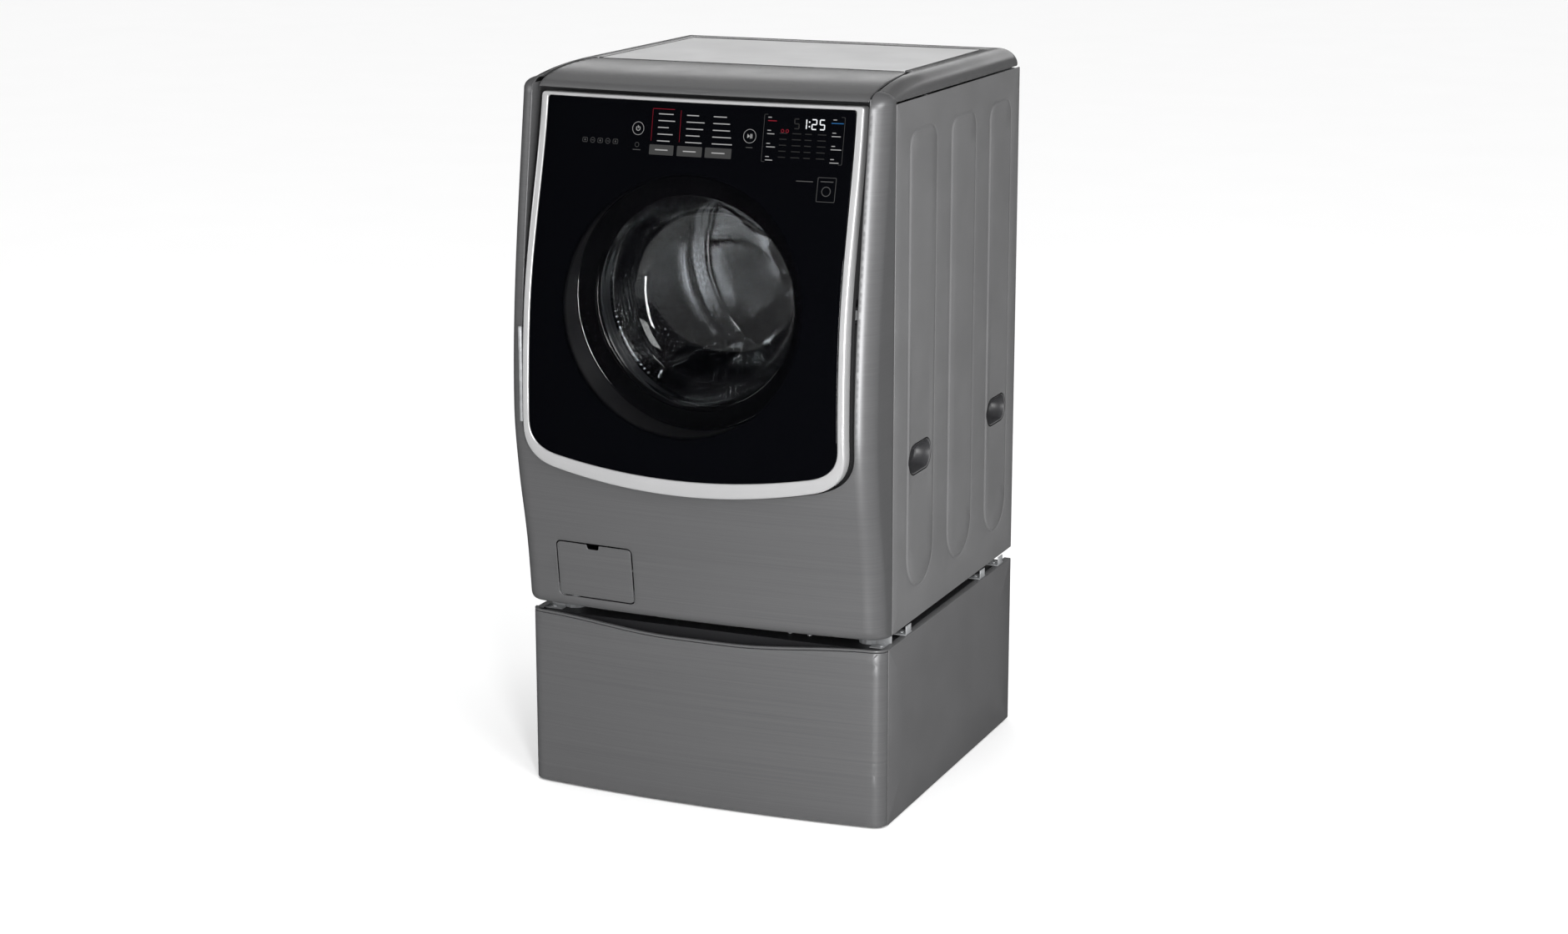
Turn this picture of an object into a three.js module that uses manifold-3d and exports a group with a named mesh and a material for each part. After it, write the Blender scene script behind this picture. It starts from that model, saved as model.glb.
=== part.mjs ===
// Front load washing machine standing on its drawer pedestal.
// Units are millimetres, +Z is up, the front faces -Y, and the origin is on the floor
// under the middle of the machine.
import * as THREE from "three";
import { mergeVertices } from "three/addons/utils/BufferGeometryUtils.js";
import Module from "manifold-3d";

const wasm = await Module();
wasm.setup();

// ---------------------------------------------------------------- driving dimensions
const HALF = 368.5; // half of the cabinet's width
const BACK = 417.5; // back plane of the cabinet
const SEAM = -266.5; // where the side panels meet the wrapped front panel
const TOP = 1399; // highest point of the washer
const WASHER_Z = 372; // underside of the washer's cabinet
const SIDE_TOP = 1361.5; // top edge of the side panels
const COVER_Z = 1363; // lower edge of the top cover
const SHEET = 1.6; // thickness of the formed sheet parts
const PLASTIC = 3; // thickness of the moulded walls
const GAP = 0.3; // clearance between neighbouring pieces

const CORNER_R = 38; // front corner radius in plan
const FACE_R = 3289; // large radius of the front face in plan
const BELLY = [ // height, y of the front corner's tangent point: the belly profile
  [372, -287.5], [500, -303], [640, -330.5], [770, -344.5], [1000, -330.5], [1375, -276.5],
];
const DOOR_PROUD = 19; // how far the door stands in front of the panel below its middle
const DOOR_SUNK = 13; // how far it lies behind the panel at its top
const DOOR_TURN = [950, 1357]; // heights between which it goes from proud to sunk
const RIM_DEPTH = 25;
const GLASS_T = 6;
const COVER_BACK = 43; // depth of the door's inner cover behind the front panel's surface
const OPENING_X = 340; // half-width of the door opening

const AXIS_Z = 985; // height of the drum's axis
const DRUM_R = 275;
const DRUM_T = 1.3; // thickness of the drum's steel
const TUB_R = 290;
const BULKHEAD_Y = -300; // bulkhead at the height of the drum's axis
const BULKHEAD_TILT = 0.1; // its change in y per unit of height
const MOUTH_R = 256;
const ROUND = 28; // segments of the large turned parts

const HINGE = [-335, -386]; // x, y of the door's vertical hinge axis
const HINGE_Z = [745, 925]; // heights of its fixed half
const LEAF_Z = [785, 885]; // and of the door's knuckle between the fixed ones
const LATCH = [317.5, -322]; // x, y of the latch hook's pivot pin
const PORTHOLE_R = 238;
const LID_REAR = -74.5;
const LID_END = LID_REAR - 8; // rear edge of the lid's skin
const LID_AXIS = [LID_REAR - 4.5, TOP - 5]; // y, z of the lid's hinge axis
const LID_HALF = 333;
const LID_REAR_HALF = 315;
const LID_LOW = 1366;
const LID_GROOVE = 5;
const COVER_R = 36; // rounding of the top cover along the sides and the rear
const COVER_T = 4;
const PLATE_HALF = 310; // flat top plate behind the lid
const PLATE_END = 342;
const CUPS = [[-300, -165], [-150, -15], [0, 150], [165, 300]]; // detergent cups in x

const FLAP = { x0: -290, x1: -124, z0: 395, z1: 508, r: 11 };
const FLAP_GAP = 1.6;
const PAN_Z = 374.5; // upper face of the base pan
const FILTER = [-207, 450]; // x, z of the pump filter's axis
const GRIPS = [{ y: -131, w: 112, h: 53 }, { y: 302, w: 105, h: 50 }];
const GRIP_Z = 686;
const BEADS = [[-194, -54], [26, 161], [243, 368]];
const BEAD_Z = [435, 1302];
const BEAD_RISE = 1.5;

const REAR_Y = 398; // recessed rear panel
const DECK_Z = 342; // top of the pedestal's deck
const PED_TOP = 348;
const PED_SEAM = -280;
const PED_R = 25;
const PED_BULGE = 18;
const DRAWER_X = 330;
const DRAWER_END = 350; // rear of the drawer's box
const RAIL_Z = 160;
const RAIL_Y = [-262, 300]; // where the drawer's runners start and end
const FOOT_X = 325;
const FOOT_Y = [-245, 375];
const SPRING_X = 322;
const DAMPER = [240, 20]; // x, y of a damper

// ---------------------------------------------------------------- materials
const material = (color, metalness, roughness, opacity = 1) =>
  new THREE.MeshStandardMaterial({
    color, metalness, roughness, opacity, transparent: opacity < 1,
  });
const graphite = material(0x6f7072, 0.75, 0.38);
const sideSteel = material(0x77787a, 0.5, 0.5);
const chrome = material(0xd9dadc, 1, 0.12);
const tintedGlass = material(0x08090b, 0.1, 0.05, 0.6);
const clearGlass = material(0xcfd6d8, 0, 0.04, 0.35);
const lightTop = material(0xc9cacb, 0.1, 0.55);
const zinc = material(0x9a9c9e, 0.8, 0.45);
const darkPlastic = material(0x1b1c1e, 0, 0.55);
const whitePlastic = material(0xd8d8d4, 0, 0.5);
const rubber = material(0x4a4c4e, 0, 0.8);
const drumSteel = material(0xb4b7ba, 1, 0.25);
const castIron = material(0x3b3d40, 0.6, 0.7);
const copper = material(0xa2653a, 0.9, 0.4);
const board = material(0x2a5b3a, 0, 0.6);

// ---------------------------------------------------------------- solids
function asSolid(shape) {
  if (!shape.isBufferGeometry) return shape;
  const bare = shape.index ? shape.toNonIndexed() : shape.clone();
  for (const name of Object.keys(bare.attributes)) {
    if (name !== "position") bare.deleteAttribute(name);
  }
  const merged = mergeVertices(bare, 1e-3);
  return new wasm.Manifold(new wasm.Mesh({
    numProp: 3,
    vertProperties: merged.attributes.position.array,
    triVerts: new Uint32Array(merged.index.array),
  }));
}

function asGeometry(solid) {
  const mesh = solid.getMesh();
  return new THREE.BufferGeometry()
    .setAttribute("position", new THREE.BufferAttribute(mesh.vertProperties, 3))
    .setIndex(new THREE.BufferAttribute(mesh.triVerts, 1))
    .toNonIndexed();
}

const join = (...shapes) => shapes.map(asSolid).reduce((a, b) => a.add(b));
const cut = (shape, ...tools) => tools.map(asSolid).reduce((a, b) => a.subtract(b), asSolid(shape));
const meet = (...shapes) => shapes.map(asSolid).reduce((a, b) => a.intersect(b));

// A mesh from rows of points and triangle indices, turned so that its faces point out.
function facingOut(points, index) {
  let volume = 0;
  for (let i = 0; i < index.length; i += 3) {
    const [a, b, c] = [points[index[i]], points[index[i + 1]], points[index[i + 2]]];
    volume += a.dot(b.clone().cross(c));
  }
  if (volume < 0) {
    for (let i = 0; i < index.length; i += 3) {
      [index[i + 1], index[i + 2]] = [index[i + 2], index[i + 1]];
    }
  }
  return new THREE.BufferGeometry().setFromPoints(points).setIndex(index);
}

// A curved plate between two surfaces, each a function (u, v) -> [x, y, z] on 0..1.
function plate(nu, nv, outer, inner) {
  const points = [];
  const index = [];
  for (const surface of [outer, inner]) {
    for (let j = 0; j <= nv; j++) {
      for (let i = 0; i <= nu; i++) points.push(new THREE.Vector3(...surface(i / nu, j / nv)));
    }
  }
  const back = (nu + 1) * (nv + 1);
  const at = (i, j) => j * (nu + 1) + i;
  const quad = (a, b, c, d) => index.push(a, b, c, a, c, d);
  for (let j = 0; j < nv; j++) {
    for (let i = 0; i < nu; i++) {
      quad(at(i, j), at(i + 1, j), at(i + 1, j + 1), at(i, j + 1));
      quad(back + at(i, j), back + at(i, j + 1), back + at(i + 1, j + 1), back + at(i + 1, j));
    }
  }
  for (let i = 0; i < nu; i++) {
    quad(at(i, 0), back + at(i, 0), back + at(i + 1, 0), at(i + 1, 0));
    quad(at(i + 1, nv), back + at(i + 1, nv), back + at(i, nv), at(i, nv));
  }
  for (let j = 0; j < nv; j++) {
    quad(at(0, j + 1), back + at(0, j + 1), back + at(0, j), at(0, j));
    quad(at(nu, j), back + at(nu, j), back + at(nu, j + 1), at(nu, j + 1));
  }
  return facingOut(points, index);
}

// A plate over a rectangle of the x-z plane, between two surfaces y = front(x, z), back(x, z).
function slab([x0, x1], [z0, z1], nx, nz, front, back) {
  const surface = (y) => (u, v) => {
    const x = x0 + (x1 - x0) * u;
    const z = z0 + (z1 - z0) * v;
    return [x, y(x, z), z];
  };
  return plate(nx, nz, surface(front), surface(back));
}

function box([x0, x1], [y0, y1], [z0, z1]) {
  return new THREE.BoxGeometry(x1 - x0, y1 - y0, z1 - z0)
    .translate((x0 + x1) / 2, (y0 + y1) / 2, (z0 + z1) / 2);
}

// A shape drawn in x-z, pulled along y; and one drawn in y-z, pulled along x.
function alongY(shape, [y0, y1], curveSegments = 8) {
  return new THREE.ExtrudeGeometry(shape, { depth: y1 - y0, bevelEnabled: false, curveSegments })
    .rotateX(Math.PI / 2).translate(0, y1, 0);
}
const YZ_TO_X = new THREE.Matrix4().set(0, 0, 1, 0, 1, 0, 0, 0, 0, 1, 0, 0, 0, 0, 0, 1);
function alongX(shape, [x0, x1], curveSegments = 8) {
  return new THREE.ExtrudeGeometry(shape, { depth: x1 - x0, bevelEnabled: false, curveSegments })
    .applyMatrix4(YZ_TO_X).translate(x0, 0, 0);
}

function alongZ(shape, [z0, z1], curveSegments = 8) {
  return new THREE.ExtrudeGeometry(shape, { depth: z1 - z0, bevelEnabled: false, curveSegments })
    .translate(0, 0, z0);
}

// A turned part from [radius, height] points. A profile off the axis closes on itself.
function turned(profile, segments = ROUND) {
  const points = profile.map(([r, h]) => new THREE.Vector2(r, h));
  if (profile[0][0] > 0) points.push(points[0].clone());
  const area = points.reduce((sum, p, i) => {
    const q = points[(i + 1) % points.length];
    return sum + p.x * q.y - q.x * p.y;
  }, 0);
  if (area < 0) points.reverse();
  return new THREE.LatheGeometry(points, segments);
}
const turnedY = (profile, x, z, segments) => turned(profile, segments).translate(x, 0, z);
const turnedZ = (profile, x, y, segments) =>
  turned(profile, segments).rotateX(Math.PI / 2).translate(x, y, 0);
const rodY = (x, z, r, [y0, y1], n = 24) => turnedY([[0, y0], [r, y0], [r, y1], [0, y1]], x, z, n);
const rodZ = (x, y, r, [z0, z1], n = 24) => turnedZ([[0, z0], [r, z0], [r, z1], [0, z1]], x, y, n);
const drumRing = (profile) => turnedY(profile, 0, AXIS_Z, ROUND);

function roundedRect(x0, x1, z0, z1, low, high = low) {
  const shape = new THREE.Shape();
  shape.absarc(x1 - low, z0 + low, low, -Math.PI / 2, 0);
  shape.absarc(x1 - high, z1 - high, high, 0, Math.PI / 2);
  shape.absarc(x0 + high, z1 - high, high, Math.PI / 2, Math.PI);
  shape.absarc(x0 + low, z0 + low, low, Math.PI, 1.5 * Math.PI);
  return shape;
}

const polygon = (points) => new THREE.Shape(points.map(([a, b]) => new THREE.Vector2(a, b)));
const mirrored = (shape) => asSolid(shape).mirror([1, 0, 0]);

// ---------------------------------------------------------------- surfaces
const smooth = (a, b, v) => {
  const t = Math.min(1, Math.max(0, (v - a) / (b - a)));
  return t * t * (3 - 2 * t);
};

// Smooth curve through the belly's points: cubic pieces with averaged slopes.
function belly(z) {
  const last = BELLY.length - 1;
  const slope = (i) => {
    const [a, b] = [BELLY[Math.max(0, i - 1)], BELLY[Math.min(last, i + 1)]];
    return (b[1] - a[1]) / (b[0] - a[0]);
  };
  let i = 0;
  while (i < last - 1 && z > BELLY[i + 1][0]) i++;
  const [[z0, y0], [z1, y1]] = [BELLY[i], BELLY[i + 1]];
  const h = z1 - z0;
  const t = (z - z0) / h;
  return y0 * (1 + 2 * t) * (1 - t) ** 2 + y1 * t * t * (3 - 2 * t)
    + h * slope(i) * t * (1 - t) ** 2 - h * slope(i + 1) * t * t * (1 - t);
}

// The front in plan: a large face arc tangent to the two corner arcs.
const CORNER_X = HALF - CORNER_R;
const TANGENT = Math.asin(CORNER_X / (FACE_R - CORNER_R));
const FACE_DROP = Math.sqrt((FACE_R - CORNER_R) ** 2 - CORNER_X ** 2);
function skinY(x, z) {
  const ax = Math.abs(x);
  const corner = belly(z);
  if (ax > FACE_R * Math.sin(TANGENT)) {
    return corner - Math.sqrt(Math.max(0, CORNER_R ** 2 - (ax - CORNER_X) ** 2));
  }
  return corner + FACE_DROP - Math.sqrt(FACE_R ** 2 - x * x);
}
const doorY = (x, z) =>
  skinY(x, z) - DOOR_PROUD + (DOOR_PROUD + DOOR_SUNK) * smooth(...DOOR_TURN, z);
const bulkheadY = (x, z) => BULKHEAD_Y + BULKHEAD_TILT * (z - AXIS_Z);
const offsetY = (surface, depth) => (x, z) => surface(x, z) + depth;

// Half the lid's width, and the crown height shared by the lid, rails and columns.
function lidHalf(y) {
  const t = Math.min(1, Math.max(0, (y - SEAM) / (LID_REAR - SEAM)));
  return LID_REAR_HALF + (LID_HALF - LID_REAR_HALF) * Math.sqrt(1 - t * t);
}
const lidFront = (x) => skinY(x, LID_LOW) + DOOR_SUNK + 2;
function crown(y, front = lidFront(LID_HALF)) {
  const t = Math.min(1, Math.max(0, (LID_REAR - y) / (LID_REAR - front)));
  return LID_LOW + (TOP - LID_LOW) * Math.sqrt(1 - t * t);
}

// Door outlines: straight sides, parabolic bottom, rounded corners.
function doorShape({ top, halfTop, halfLow, bottom, rise, turnX, drop, topR }) {
  const at = (x) => bottom + rise * x * x;
  const corner = at(turnX) + 2 * rise * turnX * (halfLow - turnX);
  const shape = new THREE.Shape();
  shape.moveTo(-turnX, at(turnX));
  shape.quadraticCurveTo(0, bottom - rise * turnX ** 2, turnX, at(turnX));
  shape.quadraticCurveTo(halfLow, corner, halfLow, corner + drop);
  shape.lineTo(halfTop, top - topR);
  shape.quadraticCurveTo(halfTop, top, halfTop - topR, top);
  shape.lineTo(-halfTop + topR, top);
  shape.quadraticCurveTo(-halfTop, top, -halfTop, top - topR);
  shape.lineTo(-halfLow, corner + drop);
  shape.quadraticCurveTo(-halfLow, corner, -turnX, at(turnX));
  return shape;
}
const RIM = {
  top: 1357.5, halfTop: 327.5, halfLow: 329.5, bottom: 632, rise: 0.000427, turnX: 262, drop: 62, topR: 8,
};
const GLASS = {
  top: 1351, halfTop: 307.5, halfLow: 311.5, bottom: 665, rise: 0.000384, turnX: 256, drop: 50, topR: 6,
};
const grown = (outline, by) => ({
  ...outline,
  top: outline.top + by,
  halfTop: outline.halfTop + by,
  halfLow: outline.halfLow + by,
  bottom: outline.bottom - by,
});
const OPENING = {
  ...grown(RIM, 4), top: 1420, halfTop: OPENING_X, halfLow: OPENING_X, topR: 1,
};
const throughDoor = (outline, range = [-440, -200]) => alongY(doorShape(outline), range);

// ---------------------------------------------------------------- scene graph
const washer = new THREE.Group();
function part(name, shape, look) {
  const mesh = new THREE.Mesh(asGeometry(asSolid(shape)), look);
  mesh.name = name;
  washer.add(mesh);
}
function pair(name, shape, look) {
  part(name + "_right", shape, look);
  part(name + "_left", mirrored(shape), look);
}

// ---------------------------------------------------------------- cabinet
function sidePanel() {
  const face = [HALF - SHEET, HALF];
  let panel = asSolid(box(face, [SEAM + GAP, BACK], [WASHER_Z, SIDE_TOP]));
  for (const [y0, y1] of BEADS) {
    const bead = roundedRect(y0, y1, ...BEAD_Z, (y1 - y0) / 2, 30);
    panel = join(panel, alongX(bead, [HALF - 1, HALF + BEAD_RISE], 3));
  }
  for (const { y, w, h } of GRIPS) {
    const outline = (grow) => roundedRect(
      y - w / 2 - grow, y + w / 2 + grow, GRIP_Z - h / 2 - grow, GRIP_Z + h / 2 + grow, h / 2 + grow);
    const cup = alongX(outline(SHEET), [HALF - 34, HALF - 1], 3);
    panel = cut(join(panel, cup), alongX(outline(0), [HALF - 31, HALF + 5], 3));
  }
  return panel;
}

// Points along the wrapped front in plan, from the left seam to the right one.
function frontPath(u, z, inset, tuck) {
  const corner = belly(z) + tuck;
  const r = CORNER_R - inset;
  const span = Math.PI / 2 - TANGENT;
  if (u <= 0 || u >= 1) return [Math.sign(u - 0.5) * (HALF - inset), SEAM];
  const side = u < 0.5 ? -1 : 1;
  const t = u < 0.5 ? u : 1 - u;
  const arcEnd = (1 + ARC_STEPS) / FRONT_STEPS;
  if (t < arcEnd + 1e-6) {
    const angle = Math.PI + (span * (t * FRONT_STEPS - 1)) / ARC_STEPS;
    return [side * (CORNER_X - r * Math.cos(angle)), corner + r * Math.sin(angle)];
  }
  const angle = (TANGENT * (0.5 - t)) / (0.5 - arcEnd);
  const big = FACE_R - inset;
  return [side * big * Math.sin(angle), corner + FACE_DROP - big * Math.cos(angle)];
}
const ARC_STEPS = 3; // steps round each front corner
const FRONT_STEPS = 14; // steps from seam to seam
const UNDER_R = 18; // rounding of the front's lower edge

function frontPanel() {
  const levels = [0, 5, UNDER_R, 90, 180, 270, 360, 450, 580, 740, 870, 994];
  const surface = (inset) => (u, v) => {
    const rise = levels[Math.round(v * (levels.length - 1))];
    const z = WASHER_Z + rise;
    const under = rise < UNDER_R ? UNDER_R - Math.sqrt(UNDER_R ** 2 - (UNDER_R - rise) ** 2) : 0;
    const [x, y] = frontPath(u, z, inset, under);
    return [x, y, z];
  };
  const skin = plate(FRONT_STEPS, levels.length - 1, surface(0), surface(SHEET));
  const flap = alongY(roundedRect(FLAP.x0, FLAP.x1, FLAP.z0, FLAP.z1, FLAP.r), [-440, -280], 4);
  const wall = cut(throughDoor(grown(OPENING, SHEET)), throughDoor(OPENING, [-450, -190]));
  const depth = slab([-346, 346], [610, LID_LOW], 6, 8,
    offsetY(skinY, 1), offsetY(bulkheadY, -0.5));
  const column = columnTop();
  return join(cut(skin, throughDoor(OPENING), flap), meet(wall, depth), column, mirrored(column));
}

// The rounded top of a front column, where three sweeps meet.
function columnTop() {
  const z0 = 1330;
  const plan = new THREE.Shape();
  plan.moveTo(OPENING_X, SEAM);
  plan.lineTo(OPENING_X, skinY(OPENING_X, LID_LOW));
  const tip = Math.acos((OPENING_X - CORNER_X) / CORNER_R);
  plan.absarc(CORNER_X, belly(LID_LOW), CORNER_R, -tip, 0);
  plan.lineTo(HALF, SEAM);
  const up = alongZ(plan, [z0, z0 + 70], 5);
  const r = crown(SEAM) - COVER_Z;
  const section = new THREE.Shape();
  section.moveTo(OPENING_X - 1, z0);
  section.lineTo(HALF, z0);
  section.lineTo(HALF, COVER_Z);
  section.absellipse(HALF - 28, COVER_Z, 28, r, 0, Math.PI / 2);
  section.lineTo(OPENING_X - 1, crown(SEAM));
  const profile = new THREE.Shape();
  profile.moveTo(SEAM + 1, z0);
  profile.lineTo(SEAM + 1, crown(SEAM));
  const front = -belly(LID_LOW) + CORNER_R + SEAM;
  profile.absellipse(SEAM, z0 + 20, front, crown(SEAM) - z0 - 20, Math.PI / 2, Math.PI);
  profile.lineTo(SEAM - front, z0);
  return meet(up, alongY(section, [-330, SEAM], 5), alongX(profile, [330, 380], 6));
}

function topFrame() {
  const stations = [SEAM + GAP, -225, -175, -130, -95, -82, LID_REAR, LID_REAR + 2, BACK];
  const steps = 6;
  const surface = (inset) => (u, v) => {
    const y = stations[Math.round(v * (stations.length - 1))];
    const top = crown(y);
    const r = Math.min(COVER_R, top - COVER_Z) - inset;
    const wide = COVER_R - inset;
    const innerX = y > LID_REAR ? PLATE_HALF + 0.5 : lidHalf(y) + LID_GROOVE;
    if (u >= 1) return [innerX, y, top - inset];
    const angle = (Math.PI / 2) * u * (steps / (steps - 1));
    return [HALF - COVER_R + wide * Math.cos(angle), y, COVER_Z + r * Math.sin(angle)];
  };
  const rail = plate(steps, stations.length - 1, surface(0), surface(COVER_T));
  const rear = new THREE.Shape();
  rear.moveTo(BACK, COVER_Z);
  rear.absarc(BACK - COVER_R, COVER_Z, COVER_R, 0, Math.PI / 2);
  rear.lineTo(PLATE_END + 0.5, TOP);
  rear.lineTo(PLATE_END + 0.5, TOP - COVER_T);
  rear.absarc(BACK - COVER_R, COVER_Z, COVER_R - COVER_T, Math.PI / 2, 0, true);
  const rearRail = alongX(rear, [-HALF, HALF], 6);
  const under = new THREE.Shape();
  under.moveTo(-400, COVER_Z - 1);
  under.lineTo(BACK, COVER_Z - 1);
  under.lineTo(BACK, COVER_Z);
  under.absarc(BACK - COVER_R, COVER_Z, COVER_R, 0, Math.PI / 2);
  under.lineTo(-400, TOP);
  const across = new THREE.Shape();
  across.moveTo(HALF, COVER_Z - 1);
  across.lineTo(HALF, COVER_Z);
  across.absarc(HALF - COVER_R, COVER_Z, COVER_R, 0, Math.PI / 2);
  across.absarc(-HALF + COVER_R, COVER_Z, COVER_R, Math.PI / 2, Math.PI);
  across.lineTo(-HALF, COVER_Z - 1);
  const rails = join(rail, mirrored(rail));
  return join(meet(rails, alongX(under, [-400, 400], 6)),
    meet(rearRail, alongY(across, [300, 430], 6)));
}

function frontBulkhead() {
  const sheet = slab([-360, 360], [600, 1363], 2, 2, bulkheadY, offsetY(bulkheadY, SHEET));
  const neck = meet(
    drumRing([[MOUTH_R, -345], [MOUTH_R + 3.5, -345], [MOUTH_R + 3.5, -286], [MOUTH_R, -286]]),
    slab([-300, 300], [650, 1300], 2, 2, bulkheadY, offsetY(bulkheadY, 90)));
  const mouth = drumRing([[0, -400], [MOUTH_R, -400], [MOUTH_R, -200], [0, -200]]);
  const slot = box([300, 334], [-340, -280], [962, 1008]);
  return cut(join(cut(sheet, mouth), neck), slot);
}

// The lock's mouth is narrower than its pocket, so its lip holds the hook's barb.
function doorLock() {
  const housing = box([296, 346], [-292, -256], [952, 1018]);
  const pocket = box([300, 334], [-289, -262], [964, 1006]);
  return cut(housing, pocket, box([313, 334], [-300, -288], [964, 1006]));
}

const KNUCKLE_R = 3.9;
// Frame half of the door hinge: a plate on the opening's wall, two knuckles and the pin.
function hingeBracket() {
  const [x, y] = HINGE;
  const [low, high] = [LEAF_Z[0] - GAP, LEAF_Z[1] + GAP];
  const wall = box([-OPENING_X + GAP, -OPENING_X + 2.8], [y, y + 46], HINGE_Z);
  const clear = box([x - 6, x + 6], [y - 6, y + 6], [low, high]);
  const fixed = [[HINGE_Z[0], low], [high, HINGE_Z[1]]];
  const knuckles = fixed.map((z) => rodZ(x, y, KNUCKLE_R, z, 16));
  const webs = fixed.map((z) => box([-OPENING_X + GAP, x], [y, y + 3.5], z));
  return join(cut(wall, clear), ...knuckles, ...webs, rodZ(x, y, 2, [HINGE_Z[0] - 1, HINGE_Z[1] + 1], 16));
}

// ---------------------------------------------------------------- cabinet internals
function basePan() {
  const rim = cut(box([-365.5, 365.5], [-258, 397], [PAN_Z - 2, 396]),
    box([-364, 364], [-256.5, 395.5], [PAN_Z, 400]));
  const feet = [];
  for (const x of [-310, 310]) {
    for (const y of [-225, 360]) {
      feet.push(rodZ(x, y, 22, [DECK_Z + GAP, 352], 14), rodZ(x, y, 9, [350, 374], 8));
    }
  }
  return join(rim, ...feet);
}

function rearPanel() {
  const sheet = box([-365.5, 365.5], [REAR_Y, REAR_Y + SHEET], [PAN_Z + 2, 1360]);
  const cover = rodY(0, AXIS_Z, 190, [REAR_Y + 1, REAR_Y + 8], 28);
  const dish = rodY(0, AXIS_Z, 188, [REAR_Y - 2, REAR_Y + 6.4], 28);
  const panel = cut(join(sheet, cover), dish);
  const ports = [box([172, 288], [390, 405], [1232, 1298]), box([276, 324], [390, 405], [1126, 1174]),
    box([-282, -218], [390, 405], [1236, 1284])];
  return cut(panel, ...ports);
}

const nozzle = (x, z) => turnedY([[7, 386], [13, 386], [13, BACK], [7, BACK]], x, z, 14);
function inletValves() {
  const block = box([172.5, 287.5], [384, 402], [1232.5, 1297.5]);
  const ports = [205, 255].map((x) => rodY(x, 1265, 7, [386, 420], 14));
  return cut(join(block, nozzle(205, 1265), nozzle(255, 1265)), ...ports);
}
function drainOutlet() {
  const flange = box([276.5, 323.5], [392, 402], [1126.5, 1173.5]);
  const tube = turnedY([[11, 396], [15, 396], [15, BACK], [11, BACK]], 300, 1150, 20);
  return cut(join(flange, tube), rodY(300, 1150, 11, [380, 420], 20));
}
function powerInlet() {
  const flange = box([-281.5, -218.5], [392, 402], [1236.5, 1283.5]);
  const gland = rodY(-250, 1260, 14, [401, BACK - 2], 20);
  return cut(join(flange, gland), rodY(-250, 1260, 5, [410, 420], 12));
}

function dispenserHousing() {
  const shell = cut(box([-318, 318], [-252, -86], [1300, 1367]),
    box([-315, 315], [-249, -89], [1303, 1370]));
  const flange = cut(box([-326, 326], [-260, -80], [1364, 1367]),
    box([-317, 317], [-251, -87], [1360, 1370]));
  return join(shell, flange);
}
function dispenserTray() {
  const block = box([-312, 312], [-246, -92], [1306, 1364]);
  const cups = CUPS.map((x) => alongZ(roundedRect(...x, -238, -100, 14), [1312, 1370], 2));
  return cut(block, ...cups);
}

function drainPump() {
  const [x, z] = FILTER;
  const body = turnedY([[0, -236], [34, -236], [34, -190], [42, -186], [42, -120], [0, -120]], x, z, 28);
  const foot = box([x - 30, x + 30], [-200, -130], [PAN_Z + GAP, z - 20]);
  return join(body, foot);
}
function filterCap() {
  const [x, z] = FILTER;
  const disc = turnedY([[0, -258], [30, -258], [33, -254], [33, -237], [0, -237]], x, z, 24);
  return join(disc, box([x - 26, x + 26], [-274, -256], [z - 4.5, z + 4.5]));
}

// Coil of round wire as one swept solid.
class Helix extends THREE.Curve {
  constructor(x, y, r, z0, z1, turns) {
    super();
    Object.assign(this, { x, y, r, z0, z1, turns });
  }
  getPoint(t, target = new THREE.Vector3()) {
    const a = 2 * Math.PI * this.turns * t;
    return target.set(this.x + this.r * Math.cos(a), this.y + this.r * Math.sin(a),
      this.z0 + (this.z1 - this.z0) * t);
  }
}
const circle = (r, n) => polygon([...Array(n)].map((_, i) =>
  [r * Math.cos((2 * Math.PI * i) / n), r * Math.sin((2 * Math.PI * i) / n)]));
const wire = (path, r, n, steps) => new THREE.ExtrudeGeometry(circle(r, n),
  { extrudePath: path, steps, bevelEnabled: false });
const tubSpring = () => wire(new Helix(SPRING_X, 0, 13, 1182, 1350, 7), 2.4, 4, 42);

const damperCylinder = () =>
  cut(rodZ(...DAMPER, 19, [PAN_Z + GAP, 570], 20), rodZ(...DAMPER, 13, [400, 600], 20));
const damperRod = () => rodZ(...DAMPER, 8, [430, 772], 16);

function sumpHose() {
  const path = new THREE.CatmullRomCurve3([
    [-60, 60, 684], [-62, 60, 640], [-80, 40, 590], [-120, 0, 560],
    [-170, -60, 548], [-200, -125, 536], [-207, -153, 514], [-207, -153, 494.5],
  ].map((p) => new THREE.Vector3(...p)));
  return wire(path, 20, 8, 14);
}

// ---------------------------------------------------------------- tub
function tubFront() {
  const r = TUB_R;
  return drumRing([
    [222, -280], [226, -280], [226, -257], [r + 5, -257], [r + 5, -60.3], [r, -60.3],
    [r, -251], [222, -251],
  ]);
}
function tubRear() {
  const r = TUB_R;
  const shell = drumRing([
    [19, 305], [r, 305], [r, -60], [r + 5, -60], [r + 5, 312], [48, 312], [44, 332], [19, 332],
  ]);
  const ear = box([215, SPRING_X + 12], [-8, 8], [1166, 1176]);
  const strut = box([DAMPER[0] - 14, DAMPER[0] + 14], [DAMPER[1] - 12, DAMPER[1] + 12], [772.3, 826]);
  const hollow = drumRing([[0, -80], [r, -80], [r, 300], [0, 300]]);
  return join(shell, cut(join(ear, mirrored(ear), strut, mirrored(strut)), hollow));
}
function ringSector(r0, r1, from, to) {
  const shape = new THREE.Shape();
  shape.absarc(0, AXIS_Z, r1, from, to, false);
  shape.absarc(0, AXIS_Z, r0, to, from, true);
  return shape;
}
const radians = THREE.MathUtils.degToRad;
const frontWeight = () => alongY(ringSector(262, 289, radians(192), radians(348)), [-281, -257.5], 12);
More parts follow.
